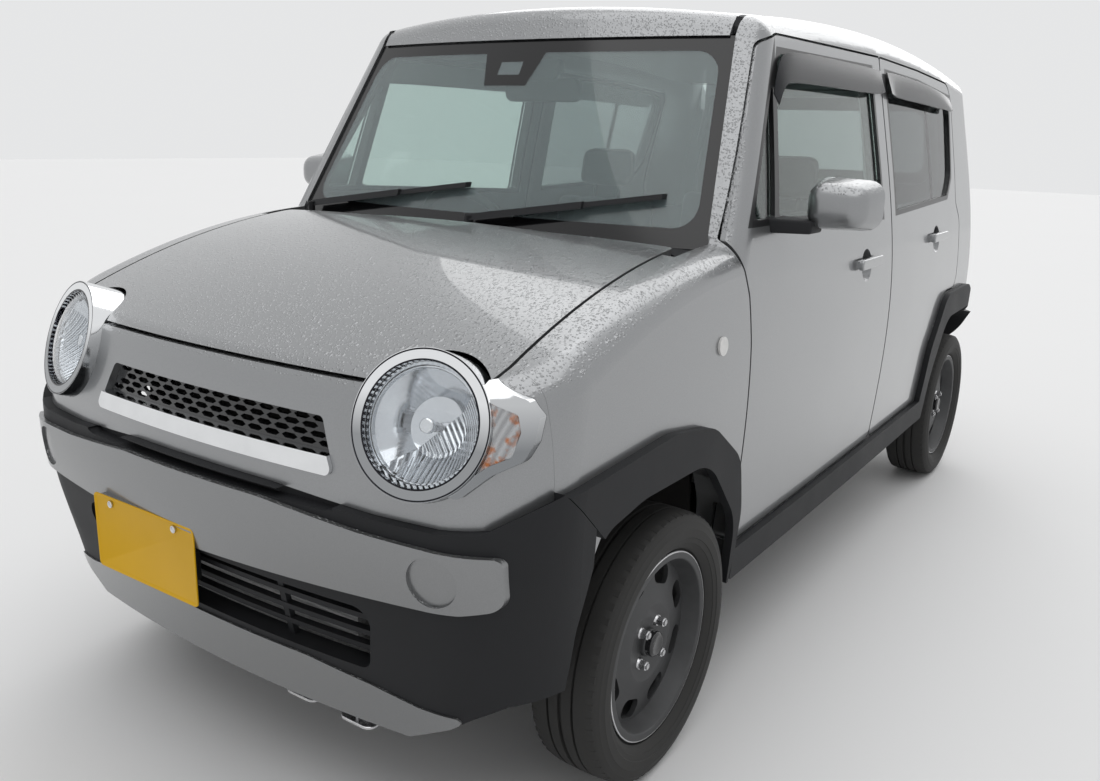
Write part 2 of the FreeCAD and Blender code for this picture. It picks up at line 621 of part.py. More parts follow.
def tailgate():
    room = prism(TAILGATE_VIEW, "xz", 1350, 1900).cut(box(-900, 900, 1300, ROOF_REAR + GAP, 1000, 1900))
    panel = form(0, True).common(room).cut(form(TAILGATE_PANEL)).cut(prism(REAR_GLASS_VIEW, "xz", 1350, 1900))
    x, z = REAR_PLATE
    panel = panel.fuse(box(x - 165, x + 165, 1625, REAR_PAD_FACE, z - 82, z + 83)).removeSplitter()
    panel = panel.cut(plate_holes(REAR_PLATE, 1500, 1900))
    return max(panel.Solids, key=lambda s: s.Volume)


def tailgate_glass():
    return skin(GLASS_IN, GLASS_IN + GLASS_THICK, prism(REAR_GLASS_VIEW, "xz", 1350, 1900, -SEAT))


# Underbody
def floor_pan():
    cabin = form(CABIN_WALL + SEAT)
    plates = [
        box(-700, 700, -735, 1000, 241, 257).common(cabin),
        box(-372, 372, -845, -730, 241, 257),
        box(-372, 372, -845, -815, 241, 1010),
        box(-700, 700, -845, -815, 640, 1010).common(cabin),
        box(-590, 590, -750, -735, 241, 640),
        box(-590, 590, -845, -735, 625, 640),
        box(-700, 700, 990, 1010, 241, 470).common(cabin),
        box(-430, 430, 1000, 1570, 450, 470),
        box(-430, 430, 1555, 1570, 345, 640),
        box(-110, 110, -815, 550, 250, 305),
    ]
    for s in (-1, 1):
        def pair(a, b):
            return min(s * a, s * b), max(s * a, s * b)
        plates.append(box(*pair(418, 430), 1000, 1570, 300, 760).common(cabin))
        plates.append(box(*pair(418, 560), 1000, 1570, 748, 760).common(cabin))
        plates.append(box(*pair(548, 560), 1000, 1570, 690, 760).common(cabin))
        plates.append(box(*pair(360, 372), -1500, -815, 262.3, 800))
        plates.append(box(*pair(360, 612), -1380, -815, 740, 752).common(cabin))
        plates.append(box(*pair(360, 372), -860, -735, 241, 640))
    support = box(-372, 372, -1512, -1500, 330, 1100).common(form(HOOD_PANEL + SEAT))
    plates.append(support)
    pan = fused(plates)
    return max(pan.Solids, key=lambda s: s.Volume)


def engine_block():
    return box(-330, 250, -1400, -930, 262.3, 760)


def radiator():
    return box(-300, 300, -1552, -1512 - SEAT, 330, 640)


WHEEL_POINT = (-335.0, -420.0, 985.0)
COLUMN_LEAN = 26.0


def column_axis():
    lean = math.radians(COLUMN_LEAN)
    return V(0, math.cos(lean), math.sin(lean))


def dashboard():
    points = [(-815 + SEAT, 700, 20), (-815 + SEAT, 1030, 20), (-700, 1075, 40), (-520, 1060, 50),
              (-470, 960, 60), (-560, 760, 40)]
    board = prism(points, "yz", -560, 560)
    shroud = Part.makeCylinder(34, 110, V(*WHEEL_POINT) - column_axis() * 140, column_axis())
    return fused([board, shroud])


def seat_pair():
    cushion = prism([(-250, 300, 30), (-250, 560, 50), (230, 520, 40), (230, 300, 30)], "yz", 115, 560)
    back = prism([(170, 480, 50), (300, 1130, 50), (400, 1120, 40), (330, 440, 50)], "yz", 120, 550)
    head = prism([(300, 1120, 30), (330, 1290, 40), (410, 1280, 35), (400, 1100, 20)], "yz", 215, 455)
    rails = [box(x, x + 36, -200, 210, 257 + SEAT, 312) for x in (150, 486)]
    return both(fused([cushion, back, head] + rails))


def rear_seat():
    cushion = prism([(560, 257 + SEAT, 5), (560, 570, 50), (989, 540, 5), (989, 257 + SEAT, 5)], "yz", -540, 540)
    back = prism([(930, 520, 20), (1060, 1120, 50), (1150, 1110, 40), (1090, 470 + SEAT, 20),
                  (960, 470 + SEAT, 5)], "yz", -415, 415)
    return fused([cushion, back])


def steering_wheel():
    """Rim, spokes and column end; the hub's axis leans back towards the driver."""
    centre, axis = V(*WHEEL_POINT), column_axis()
    rim = Part.makeTorus(178, 14, centre, axis)
    hub = Part.makeCylinder(48, 40, centre - axis * 24, axis)
    column = Part.makeCylinder(18, 20, centre - axis * (30 - SEAT), axis)
    spoke = Part.makeCylinder(11, 350, centre - axis * 8 - V(175, 0, 0), V(1, 0, 0))
    side = V(1, 0, 0).cross(axis)
    lower = Part.makeCylinder(11, 172, centre - axis * 8, side if side.z < 0 else side * -1)
    return fused([rim, hub, column, spoke, lower])


# Wheels
def turned(points, x, y, z):
    """A ring turned about the axle from (distance outboard, radius, corner radius) points."""
    wire = rounded([(a, b, r) for a, b, r in points], "xy")
    ring = Part.Face(wire).revolve(V(0, 0, 0), V(1, 0, 0), 360)
    ring.translate(V(x, y, z))
    return ring


def tyre(x, y):
    half = TYRE_WIDTH / 2
    r = TYRE_RADIUS
    profile = [(-54, BEAD_RADIUS, 3), (-54, RIM_LIP_RADIUS + 4, 4), (-half, r - 45, 24), (-half + 12, r - 4, 12),
               (-45, r, 0), (45, r, 0), (half - 12, r - 4, 12), (half, r - 45, 24), (54, RIM_LIP_RADIUS + 4, 4),
               (54, BEAD_RADIUS, 3)]
    return turned(profile, x, y, TYRE_RADIUS)


def wheel_body():
    """Rim, disc pierced by eight rounded holes and hub face of a left-hand wheel, about the origin."""
    half = RIM_WIDTH / 2
    rim = [(-half, RIM_LIP_RADIUS, 2), (-half, 186, 4), (-30, 178, 6), (20, 172, 8), (half - 12, 182, 4),
           (half, 186, 4), (half, RIM_LIP_RADIUS, 2), (half - 5, RIM_LIP_RADIUS, 2),
           (half - 5, BEAD_RADIUS - SEAT, 3), (-half + 5, BEAD_RADIUS - SEAT, 3), (-half + 5, RIM_LIP_RADIUS, 2)]
    disc = [(8, 30, 0), (30, 30, 0), (34, 62, 8), (38, 84, 10), (30, 120, 20), (22, 180, 0), (10, 180, 0),
            (20, 120, 20), (26, 84, 10), (20, 62, 8), (8, 52, 4)]
    hub = [(-28, SPINDLE_RADIUS + 0.1, 0), (-28, 34, 3), (10, 34, 3), (40, 30, 4), (40, 6, 0), (30, 6, 0),
           (30, SPINDLE_RADIUS + 0.1, 0)]
    holes = []
    for i in range(DISC_HOLES):
        hole = prism([(-35, -21, 18), (-31, 21, 18), (31, 21, 18), (35, -21, 18)], "yz", 0, 80)
        hole.translate(V(0, 0, DISC_HOLE_CIRCLE))
        hole.rotate(V(0, 0, 0), V(1, 0, 0), 360.0 / DISC_HOLES * (i + 0.5))
        holes.append(hole)
    pierced = turned(disc, 0, 0, 0).cut(Part.makeCompound(holes))
    return fused([turned(rim, 0, 0, 0), pierced, turned(hub, 0, 0, 0)])


def wheel(body, side, x, y):
    """The wheel at its place; side is 1 for left, -1 for right."""
    placed = body.copy() if side > 0 else mirrored(body)
    placed.translate(V(x, y, TYRE_RADIUS))
    return placed


def knuckle(side):
    """Spindle, brake disc and the post that turns on the kingpin's line."""
    x = side * TRACK_FRONT / 2
    z = TYRE_RADIUS
    spindle = cylinder(SPINDLE_RADIUS, (x + side * 28, FRONT_AXLE, z), (side * KINGPIN_X, FRONT_AXLE, z))
    disc = cylinder(118, (x - side * 50, FRONT_AXLE, z), (x - side * 36, FRONT_AXLE, z))
    post = cylinder(22, (side * KINGPIN_X, FRONT_AXLE, 240 + SEAT), (side * KINGPIN_X, FRONT_AXLE, 420))
    return fused([spindle, disc, post])


def front_suspension():
    """Cross member and lower arms of the front axle."""
    pieces = [box(-372, 372, FRONT_AXLE - 10, FRONT_AXLE + 150, 200, 262)]
    for s in (-1, 1):
        x0, x1 = sorted((s * 300, s * KINGPIN_X))
        pieces.append(box(x0, x1, FRONT_AXLE - 22, FRONT_AXLE + 22, 212, 240))
        pieces.append(cylinder(22, (s * KINGPIN_X, FRONT_AXLE, 212), (s * KINGPIN_X, FRONT_AXLE, 240)))
    return fused(pieces)


def rear_axle():
    """Axle beam, trailing arms and stub axles."""
    pieces = [cylinder(34, (-480, REAR_AXLE - 60, 250), (480, REAR_AXLE - 60, 250))]
    for s in (-1, 1):
        x = s * TRACK_REAR / 2
        pieces.append(cylinder(SPINDLE_RADIUS, (x + s * 28, REAR_AXLE, TYRE_RADIUS), (s * 500, REAR_AXLE, TYRE_RADIUS)))
        pieces.append(cylinder(110, (x - s * 62, REAR_AXLE, TYRE_RADIUS), (x - s * 36, REAR_AXLE, TYRE_RADIUS)))
        x0, x1 = sorted((s * 470, s * 520))
        pieces.append(box(x0, x1, 1010 + SEAT, REAR_AXLE + 40, 225, 320))
    return fused(pieces)


def run_of_pipe(points, radius):
    """A pipe through points, with a ball at each bend."""
    pieces = [cylinder(radius, a, b) for a, b in zip(points, points[1:])]
    pieces += [Part.makeSphere(radius, V(*p)) for p in points[1:-1]]
    return fused(pieces)


def exhaust():
    pipe = run_of_pipe([(180, -700, 218.7), (180, 1060, 218.7), (180, 1215, 335), (180, 1440, 335)], 22)
    silencer = prism([(1420, 282, 30), (1420, 382, 30), (1535, 382, 30), (1535, 282, 30)], "yz", -20, 330)
    tip = run_of_pipe([(300, 1480, 290), (300, 1560, 250), (300, 1655, 250)], 22)
    return fused([pipe, silencer, tip])


def fuel_tank():
    return prism([(560, 180, 25), (560, 241 - SEAT, 5), (940, 241 - SEAT, 5), (940, 180, 25)], "yz", -340, 120)


def wiper(pivot, tip):
    """One arm with its blade, lying on the windscreen from its pivot to its tip."""
    x0, z0 = pivot
    x1, z1 = tip
    run = math.hypot(x1 - x0, z1 - z0)
    along, across = V((x1 - x0) / run, 0, (z1 - z0) / run), V(-(z1 - z0) / run, 0, (x1 - x0) / run)

    def strip(start, stop, half):
        a, b = V(x0, 0, z0) + along * start, V(x0, 0, z0) + along * stop
        corners = [a - across * half, b - across * half, b + across * half, a + across * half]
        return prism([(c.x, c.z, 0) for c in corners], "xz", -1000, -500)

    arm = strip(-12, run * 0.62, 8).common(screen_body(-20)).cut(screen_body(-11))
    blade = strip(run * 0.22, run, 6).common(screen_body(-13)).cut(screen_body(GLASS_IN - SEAT))
    station = SCREEN_FOOT[0] + (z0 - SCREEN_FOOT[1]) * 0.584 + x0 * x0 / 6000 - 18
    post = cylinder(9, (x0, station, 1050), (x0, station, z0 + 4)).cut(bonnet_body(16 - SEAT))
    return fused([arm, blade, max(post.Solids, key=lambda s: s.CenterOfMass.z)])


def wipers():
    return Part.makeCompound([wiper((40, 1118), (505, 1190)), wiper((-560, 1112), (-10, 1190))])


def side_lamp():
    lamp = cylinder(20, (500, -904, 901), (900, -904, 901))
    return form(-5).common(lamp).cut(form(-SEAT))


def build_all():
    for name, maker in (
        ("roof", roof), ("windscreen", windscreen), ("cowl", cowl), ("hood", hood), ("nose_panel", nose_panel),
        ("grille_mesh", grille_mesh), ("grille_strip", grille_strip), ("front_bumper", front_bumper),
        ("bumper_bar", bumper_bar), ("skid_plate", skid_plate), ("rear_bumper", rear_bumper),
        ("tailgate", tailgate), ("tailgate_glass", tailgate_glass), ("floor_pan", floor_pan),
        ("engine_block", engine_block), ("radiator", radiator), ("dashboard", dashboard),
        ("front_seats", seat_pair), ("rear_seat", rear_seat), ("front_suspension", front_suspension),
        ("rear_axle", rear_axle), ("exhaust", exhaust), ("fuel_tank", fuel_tank),
        ("wipers", wipers),
    ):
        save(name, maker())
    for name, maker in (
        ("body_sides", body_side), ("roof_mouldings", roof_moulding), ("front_fenders", front_fender),
        ("headlamp_bezels", headlamp_bezel), ("headlamp_lenses", headlamp_lens), ("headlamp_bowls", headlamp_bowl),
        ("side_cladding", side_cladding), ("tail_lamps", tail_lamp), ("side_lamps", side_lamp),
        ("door_seals", seals),
    ):
        save(name, both(maker()))
    front = door_with_handle(FRONT_DOOR, (QUARTER_LIGHT, FRONT_WINDOW), 711, 66, 987)
    rear = door_with_handle(REAR_DOOR, (REAR_WINDOW,), 705, 890, 1003)
    front_glass, rear_glass = door_glass((QUARTER_LIGHT, FRONT_WINDOW)), door_glass((REAR_WINDOW,))
    looking = mirror()
    for name, left in (("door_front", front), ("door_rear", rear), ("glass_front", front_glass),
                       ("glass_rear", rear_glass), ("mirror", looking)):
        save(name + "_left", left)
        save(name + "_right", mirrored(left))
    rolling = wheel_body()
    for word, side in (("left", 1), ("right", -1)):
        for place, track, axle in (("front", TRACK_FRONT, FRONT_AXLE), ("rear", TRACK_REAR, REAR_AXLE)):
            save("tyre_%s_%s" % (place, word), tyre(side * track / 2, axle))
            save("wheel_%s_%s" % (place, word), wheel(rolling, side, side * track / 2, axle))
        save("knuckle_" + word, knuckle(side))
    save("steering_wheel", steering_wheel())


build_all()
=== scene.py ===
import json
import math

import bmesh
import bpy
from mathutils import Matrix, Vector

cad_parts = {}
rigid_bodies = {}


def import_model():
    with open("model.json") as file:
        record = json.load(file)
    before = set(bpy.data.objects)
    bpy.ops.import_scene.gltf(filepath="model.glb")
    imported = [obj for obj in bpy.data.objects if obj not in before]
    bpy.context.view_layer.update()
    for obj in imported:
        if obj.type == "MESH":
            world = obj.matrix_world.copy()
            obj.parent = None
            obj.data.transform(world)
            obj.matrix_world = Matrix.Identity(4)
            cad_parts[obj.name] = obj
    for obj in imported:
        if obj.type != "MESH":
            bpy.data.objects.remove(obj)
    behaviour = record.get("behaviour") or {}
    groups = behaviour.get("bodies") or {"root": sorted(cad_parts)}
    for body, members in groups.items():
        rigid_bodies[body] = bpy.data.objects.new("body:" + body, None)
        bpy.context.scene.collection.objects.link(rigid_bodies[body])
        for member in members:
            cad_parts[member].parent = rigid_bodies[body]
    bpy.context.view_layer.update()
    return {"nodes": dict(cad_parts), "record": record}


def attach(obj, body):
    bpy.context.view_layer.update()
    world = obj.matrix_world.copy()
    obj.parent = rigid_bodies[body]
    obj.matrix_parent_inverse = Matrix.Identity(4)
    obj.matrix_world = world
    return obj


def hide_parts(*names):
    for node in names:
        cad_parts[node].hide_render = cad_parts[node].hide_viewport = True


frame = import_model()

bl_info = {
    "name": "Kei Car Dressing",
    "version": (1, 0, 0),
    "blender": (4, 5, 0),
    "location": "View3D > Sidebar > Kei Car",
    "description": "Dresses the packed kei car with finishes, lamps, tyres, seats and small fittings",
    "category": "Object",
}

NODES = frame["nodes"]

# Places on the CAD model, in metres
FRONT_AXLE, REAR_AXLE, AXLE_HEIGHT = -1.0875, 1.3375, 0.289
FRONT_TRACK, REAR_TRACK = 1.295, 1.290
WINDOW_RUBBER = 0.015
SKY_LIGHT = 0.50
SCREEN_FOOT, SCREEN_HEAD = 1.084, 1.5447
RING_EDGE, LOBE_FROM = 0.1275, 0.118
PAINT_METAL, PAINT_COAT = 0.80, 0.85
FRONT_PLATE, REAR_PLATE = (-0.158, -1.690, 0.485), (0.0, 1.659, 0.800)
BOLT_RADIUS, NUT_RADIUS = 0.050, 0.0105
TYRE_STEPS, TREAD_BLOCKS = 96, 64
SEAM_DEPTH, SEAM_WIDTH, PAD_FILL = 0.009, 0.010, 0.8
CAMERA_PLACE, CAMERA_TURN = (1.526, -2.745, 1.321), (33.90, 14.89, 1.71)
SMOKED = (0.26, 0.29, 0.29)
DIVISION_BAR = 0.875
QUARTER_OUTLINE = [(-0.720, 1.146), (-0.600, 1.146), (-0.527, 1.462)]
FRONT_WINDOW_OUTLINE = [(-0.574, 1.146), (-0.502, 1.470), (-0.478, 1.512), (0.235, 1.520), (0.235, 1.112)]
REAR_WINDOW_OUTLINE = [(0.385, 1.116), (0.385, 1.518), (0.760, 1.510), (1.200, 1.480), (1.140, 1.205),
                       (1.065, 1.138)]
LAMP_MIDDLE, LAMP_AXIS = Vector((0.508, -1.603, 0.854)), Vector((0.212, -0.918, 0.334)).normalized()

# CAD pieces whose finish differs from their material slot's plain one
OWN_FINISHES = (
    ("door_front", "door_front_paint"), ("door_rear", "door_rear_paint"), ("windscreen", "screen_glass"),
    ("glass_rear", "rear_door_glass"), ("tailgate_glass", "tail_glass"), ("wheel_", "wheel_grey"),
    ("headlamp_bowls", "lamp_mirror"), ("headlamp_bezels", "bezel_chrome"), ("headlamp_lenses", "lamp_cover"),
    ("side_lamps", "side_lens"),
)


# Sizes and colours that a user would change
class PaintSettings(bpy.types.PropertyGroup):
    body: bpy.props.FloatVectorProperty(
        name="Body colour", description="Silver of the painted panels", subtype="COLOR", size=3,
        default=(0.30, 0.306, 0.313), min=0.0, max=1.0)
    cladding: bpy.props.FloatVectorProperty(
        name="Cladding colour", description="Grained black plastic of arches, sills and bumpers", subtype="COLOR",
        size=3, default=(0.014, 0.0145, 0.016), min=0.0, max=1.0)
    trim_silver: bpy.props.FloatVectorProperty(
        name="Trim silver", description="Silver plastic of the bumper bar and the skid plate", subtype="COLOR",
        size=3, default=(0.26, 0.264, 0.268), min=0.0, max=1.0)
    plate: bpy.props.FloatVectorProperty(
        name="Plate colour", description="Blank yellow of the number plates", subtype="COLOR", size=3,
        default=(0.76, 0.43, 0.004), min=0.0, max=1.0)
    glass: bpy.props.FloatVectorProperty(
        name="Glass tint", description="Pale green of the windscreen and windows", subtype="COLOR", size=3,
        default=(0.74, 0.86, 0.82), min=0.0, max=1.0)


class StageSettings(bpy.types.PropertyGroup):
    floor_size: bpy.props.FloatProperty(
        name="Floor size", description="Side of the square floor", default=60.0, min=10.0, unit="LENGTH")
    floor_tone: bpy.props.FloatProperty(
        name="Floor tone", description="Grey of the plain floor and its surroundings", default=0.80, min=0.0,
        max=1.0, subtype="FACTOR")
    lamp_power: bpy.props.FloatProperty(
        name="Lamp power", description="Strength of the broad sky lamp", default=1.35, min=0.0)
    lens: bpy.props.FloatProperty(
        name="Lens", description="Focal length of the camera", default=31.85, min=5.0, unit="CAMERA")


# Shader writing
class Sock:
    """A shader socket with its node tree, so that maths on it adds Math nodes."""

    def __init__(self, tree, out):
        self.tree, self.out = tree, out

    def _math(self, operation, a, b):
        node = self.tree.nodes.new("ShaderNodeMath")
        node.operation = operation
        for i, v in enumerate((a, b)):
            if isinstance(v, Sock):
                self.tree.links.new(v.out, node.inputs[i])
            else:
                node.inputs[i].default_value = v
        return Sock(self.tree, node.outputs[0])

    def __add__(self, o): return self._math("ADD", self, o)
    def __radd__(self, o): return self._math("ADD", o, self)
    def __sub__(self, o): return self._math("SUBTRACT", self, o)
    def __rsub__(self, o): return self._math("SUBTRACT", o, self)
    def __mul__(self, o): return self._math("MULTIPLY", self, o)
    def __rmul__(self, o): return self._math("MULTIPLY", o, self)
    def __truediv__(self, o): return self._math("DIVIDE", self, o)
    def above(self, o): return self._math("GREATER_THAN", self, o)
    def below(self, o): return self._math("LESS_THAN", self, o)
    def power(self, o): return self._math("POWER", self, o)
    def sine(self): return self._math("SINE", self, 0.0)
    def size(self): return self._math("ABSOLUTE", self, 0.0)
    def least(self, o): return self._math("MINIMUM", self, o)
    def most(self, o): return self._math("MAXIMUM", self, o)


class Finish:
    """One procedural material being written."""

    def __init__(self, name, **plain):
        self.material = bpy.data.materials.new(name)
        self.material.use_nodes = True
        self.tree = self.material.node_tree
        self.shader = self.tree.nodes["Principled BSDF"]
        for key, value in plain.items():
            self.set(key.replace("_", " ").title().replace("Ior", "IOR"), value)

    def set(self, socket, value):
        """A constant or a link on the main shader."""
        target = self.shader.inputs[socket]
        if isinstance(value, Sock):
            self.tree.links.new(value.out, target)
        elif isinstance(value, (tuple, list)) and len(value) == 3:
            target.default_value = (*value, 1.0)
        else:
            target.default_value = value
        return self

    def node(self, kind, settings=None, output=0, **inputs):
        """Any node: its type, its settings, which are set first, and its sockets by name or number."""
        made = self.tree.nodes.new("ShaderNode" + kind)
        for key, value in (settings or {}).items():
            if key == "stops":
                ramp = made.color_ramp
                while len(ramp.elements) < len(value):
                    ramp.elements.new(0.5)
                for element, (place, colour) in zip(ramp.elements, value):
                    element.position, element.color = place, (*colour, 1.0)
            else:
                setattr(made, key, value)
        for key, value in inputs.items():
            name = int(key[1:]) if key[0] == "i" and key[1:].isdigit() else key.replace("_", " ")
            target = made.inputs[name]
            if isinstance(value, Sock):
                self.tree.links.new(value.out, target)
            elif isinstance(value, (tuple, list)) and len(value) == 3 and len(target.default_value) == 4:
                target.default_value = (*value, 1.0)
            else:
                target.default_value = value
        return Sock(self.tree, made.outputs[output])

    def place(self, scale=(1, 1, 1), turn=(0, 0, 0), at=(0, 0, 0)):
        """Object coordinates, moved, turned and scaled by a Mapping node."""
        here = self.node("TexCoord", output=3)
        return self.node("Mapping", Vector=here, Scale=scale, Rotation=turn, Location=at)

    def axes(self):
        """x, y and z of the object coordinates."""
        apart = self.tree.nodes.new("ShaderNodeSeparateXYZ")
        self.tree.links.new(self.node("TexCoord", output=3).out, apart.inputs[0])
        return [Sock(self.tree, apart.outputs[i]) for i in range(3)]

    def noise(self, scale, detail=3.0, rough=0.5, vector=None, **kw):
        return self.node("TexNoise", Vector=vector or self.place(), Scale=scale, Detail=detail,
                         Roughness=rough, **kw)

    def mix(self, factor, a, b):
        """Colour a where factor is 0 and b where it is 1."""
        return self.node("Mix", {"data_type": "RGBA"}, output=2, i0=factor, i6=a, i7=b)

    def ramp(self, value, *stops):
        return self.node("ValToRGB", {"stops": stops}, i0=value)

    def over(self, factor, second):
        """The second shader laid over the main one where the factor is 1."""
        both = self.tree.nodes.new("ShaderNodeMixShader")
        self.tree.links.new(factor.out, both.inputs[0])
        self.tree.links.new(self.shader.outputs[0], both.inputs[1])
        self.tree.links.new(second.outputs[0], both.inputs[2])
        self.tree.links.new(both.outputs[0], self.tree.nodes["Material Output"].inputs[0])
        return self

    def bump(self, height, strength=0.3, distance=0.001):
        self.set("Normal", self.node("Bump", Height=height, Strength=strength, Distance=distance))
        return self


def tone(c, k):
    return tuple(min(1.0, v * k) for v in c)


def dress(node, finish):
    """Gives a CAD node's object its finish."""
    slots = NODES[node].material_slots
    if not slots:
        NODES[node].data.materials.append(finish)
    for slot in slots:
        slot.link = "DATA"
        slot.material = finish


def smooth(obj, degrees=32):
    """Shades a new piece smooth up to an angle."""
    only(obj)
    bpy.ops.object.shade_smooth_by_angle(angle=math.radians(degrees))


def only(obj):
    if bpy.context.object is not None and bpy.context.object.mode != "OBJECT":
        bpy.ops.object.mode_set(mode="OBJECT")
    bpy.ops.object.select_all(action="DESELECT")
    bpy.context.view_layer.objects.active = obj
    obj.select_set(True)


# Modelling by hand
def settle(name):
    """Names the new primitive and puts its place, turn and scale into its mesh."""
    obj = bpy.context.object
    obj.name = obj.data.name = name
    bpy.ops.object.transform_apply(location=True, rotation=True, scale=True)
    return obj


def cube(name, low, high):
    """A box between two corners."""
    bpy.ops.object.select_all(action="DESELECT")
    middle = [(a + b) / 2 for a, b in zip(low, high)]
    bpy.ops.mesh.primitive_cube_add(size=1, location=middle)
    bpy.context.object.scale = [b - a for a, b in zip(low, high)]
    return settle(name)


def rod(name, start, end, radius, sides=24, far_radius=None):
    """A round bar, or a cone where the far radius differs."""
    bpy.ops.object.select_all(action="DESELECT")
    start, end = Vector(start), Vector(end)
    turn = (end - start).to_track_quat("Z", "Y").to_euler()
    bpy.ops.mesh.primitive_cone_add(
        vertices=sides, radius1=radius, radius2=radius if far_radius is None else far_radius,
        depth=(end - start).length, location=(start + end) / 2, rotation=turn)
    return settle(name)


def choose(obj, kind, test):
    """Opens the mesh and selects the faces, edges or vertices whose middle passes the test."""
    only(obj)
    bpy.ops.object.mode_set(mode="EDIT")
    bpy.ops.mesh.select_mode(type=kind)
    bpy.ops.mesh.select_all(action="DESELECT")
    mesh = bmesh.from_edit_mesh(obj.data)
    if kind == "FACE":
        for face in mesh.faces:
            face.select_set(bool(test(face.calc_center_median(), face.normal)))
    elif kind == "EDGE":
        for edge in mesh.edges:
            a, b = edge.verts[0].co, edge.verts[1].co
            edge.select_set(bool(test((a + b) / 2, (b - a).normalized())))
    else:
        for vertex in mesh.verts:
            vertex.select_set(bool(test(vertex.co, vertex.normal)))
    mesh.select_flush_mode()
    bmesh.update_edit_mesh(obj.data)


def close():
    bpy.ops.object.mode_set(mode="OBJECT")


def dish(obj, test, *insets):
    """Insets the faces that pass the test, by each thickness and depth in turn."""
    choose(obj, "FACE", test)
    for thickness, depth in insets:
        bpy.ops.mesh.inset(thickness=thickness, depth=depth)
    close()


def round_edges(obj, test, offset, segments):
    """Bevels the edges that pass the test."""
    choose(obj, "EDGE", test)
    bpy.ops.mesh.bevel(offset=offset, segments=segments)
    close()


def nudge(obj, test, value):
    """Moves the vertices that pass the test."""
    choose(obj, "VERT", test)
    bpy.ops.transform.translate(value=value)
    close()


def taper(obj, test, value, centre):
    """Scales the vertices that pass the test about a centre."""
    choose(obj, "VERT", test)
    bpy.ops.transform.resize(value=value, center_override=centre)
    close()


def apply(obj, kind, **values):
    """Adds a modifier, sets it and applies it."""
    only(obj)
    modifier = obj.modifiers.new(kind.lower(), kind)
    for key, value in values.items():
        setattr(modifier, key, value)
    bpy.ops.object.modifier_apply(modifier=modifier.name)
    return obj


def soften(obj, width, segments=3, degrees=35):
    return apply(obj, "BEVEL", width=width, segments=segments, limit_method="ANGLE",
                 angle_limit=math.radians(degrees))


def joined(name, objects):
    only(objects[0])
    for obj in objects:
        obj.select_set(True)
    bpy.ops.object.join()
    objects[0].name = objects[0].data.name = name
    return objects[0]


def twin(obj, name, mirror=False, shift=(0, 0, 0)):
    """A copy with its own mesh, across the car's middle or moved."""
    other = obj.copy()
    other.data = obj.data.copy()
    other.name = other.data.name = name
    bpy.context.scene.collection.objects.link(other)
    only(other)
    if mirror:
        other.scale = (-1, 1, 1)
    other.location = shift
    bpy.ops.object.transform_apply(location=True, rotation=True, scale=True)
    if mirror:
        choose(other, "FACE", lambda middle, normal: True)
        bpy.ops.mesh.normals_make_consistent(inside=False)
        close()
    return other


def put(obj, body, finish, degrees=32):
    """Gives a new piece its finish and lets it ride on a body."""
    obj.data.materials.clear()
    obj.data.materials.append(finish_of(finish))
    smooth(obj, degrees)
    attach(obj, body)
    return obj


def pair(piece, bodies, finish, degrees=32):
    """Puts a left-hand piece and its mirrored twin on their bodies."""
    other = twin(piece, piece.name.replace("left", "right"), mirror=True)
    put(piece, bodies[0], finish, degrees)
    put(other, bodies[1], finish, degrees)
    return other


FINISHES = {}


def finish_of(name):
    if name not in FINISHES:
        made = RECIPES[name]() if name in RECIPES else plain(PLAIN_NAMES.get(name, name))
        FINISHES[name] = made.material
    return FINISHES[name]


def settings():
    return bpy.context.scene.kei_paint


def paint_like(name, colour, flake=0.10, grain=900.0):
    """Metallic paint under clear coat with fine flakes, faint unevenness and rain drops."""
    f = Finish(name, metallic=PAINT_METAL, roughness=0.30, coat_weight=PAINT_COAT, coat_roughness=0.03)
    flakes = f.noise(grain, 2.0, 0.7)
    patch = f.noise(2.2, 3.0, 0.55)
    sparkle = f.ramp(flakes, (0.35, tone(colour, 1 - flake)), (0.65, tone(colour, 1 + flake)))
    f.set("Base Color", f.mix(patch * 0.35, sparkle, tone(colour, 0.9)))
    f.set("Roughness", 0.26 + patch * 0.08)
    f.bump(drops(f) + f.noise(160.0, 2.0) * 0.03, 0.8, 0.0025)
    return f


def outline_distance(y, z, points):
    """How far a place lies outside a convex outline seen from the side; below 0 inside it."""
    far = None
    n = len(points)
    cy, cz = sum(p[0] for p in points) / n, sum(p[1] for p in points) / n
    for (y0, z0), (y1, z1) in zip(points, points[1:] + points[:1]):
        run = math.hypot(y1 - y0, z1 - z0)
        ny, nz = (z1 - z0) / run, (y0 - y1) / run
        if ny * (cy - y0) + nz * (cz - z0) > 0:
            ny, nz = -ny, -nz
        d = y * ny + z * nz - (ny * y0 + nz * z0)
        far = d if far is None else far.most(d)
    return far


def drops(f):
    """Rain drops of three sizes as a height, for panels that face the sky."""
    height = 0.0
    for scale, reach in ((55.0, 0.26), (95.0, 0.30), (170.0, 0.34)):
        cell = f.node("TexVoronoi", Vector=f.place(), Scale=scale, Randomness=1.0)
        height = height + (reach - cell).most(0.0) * 3.0
    apart = f.tree.nodes.new("ShaderNodeSeparateXYZ")
    f.tree.links.new(f.node("TexCoord", output=1).out, apart.inputs[0])
    return height * Sock(f.tree, apart.outputs[2]).above(0.45)


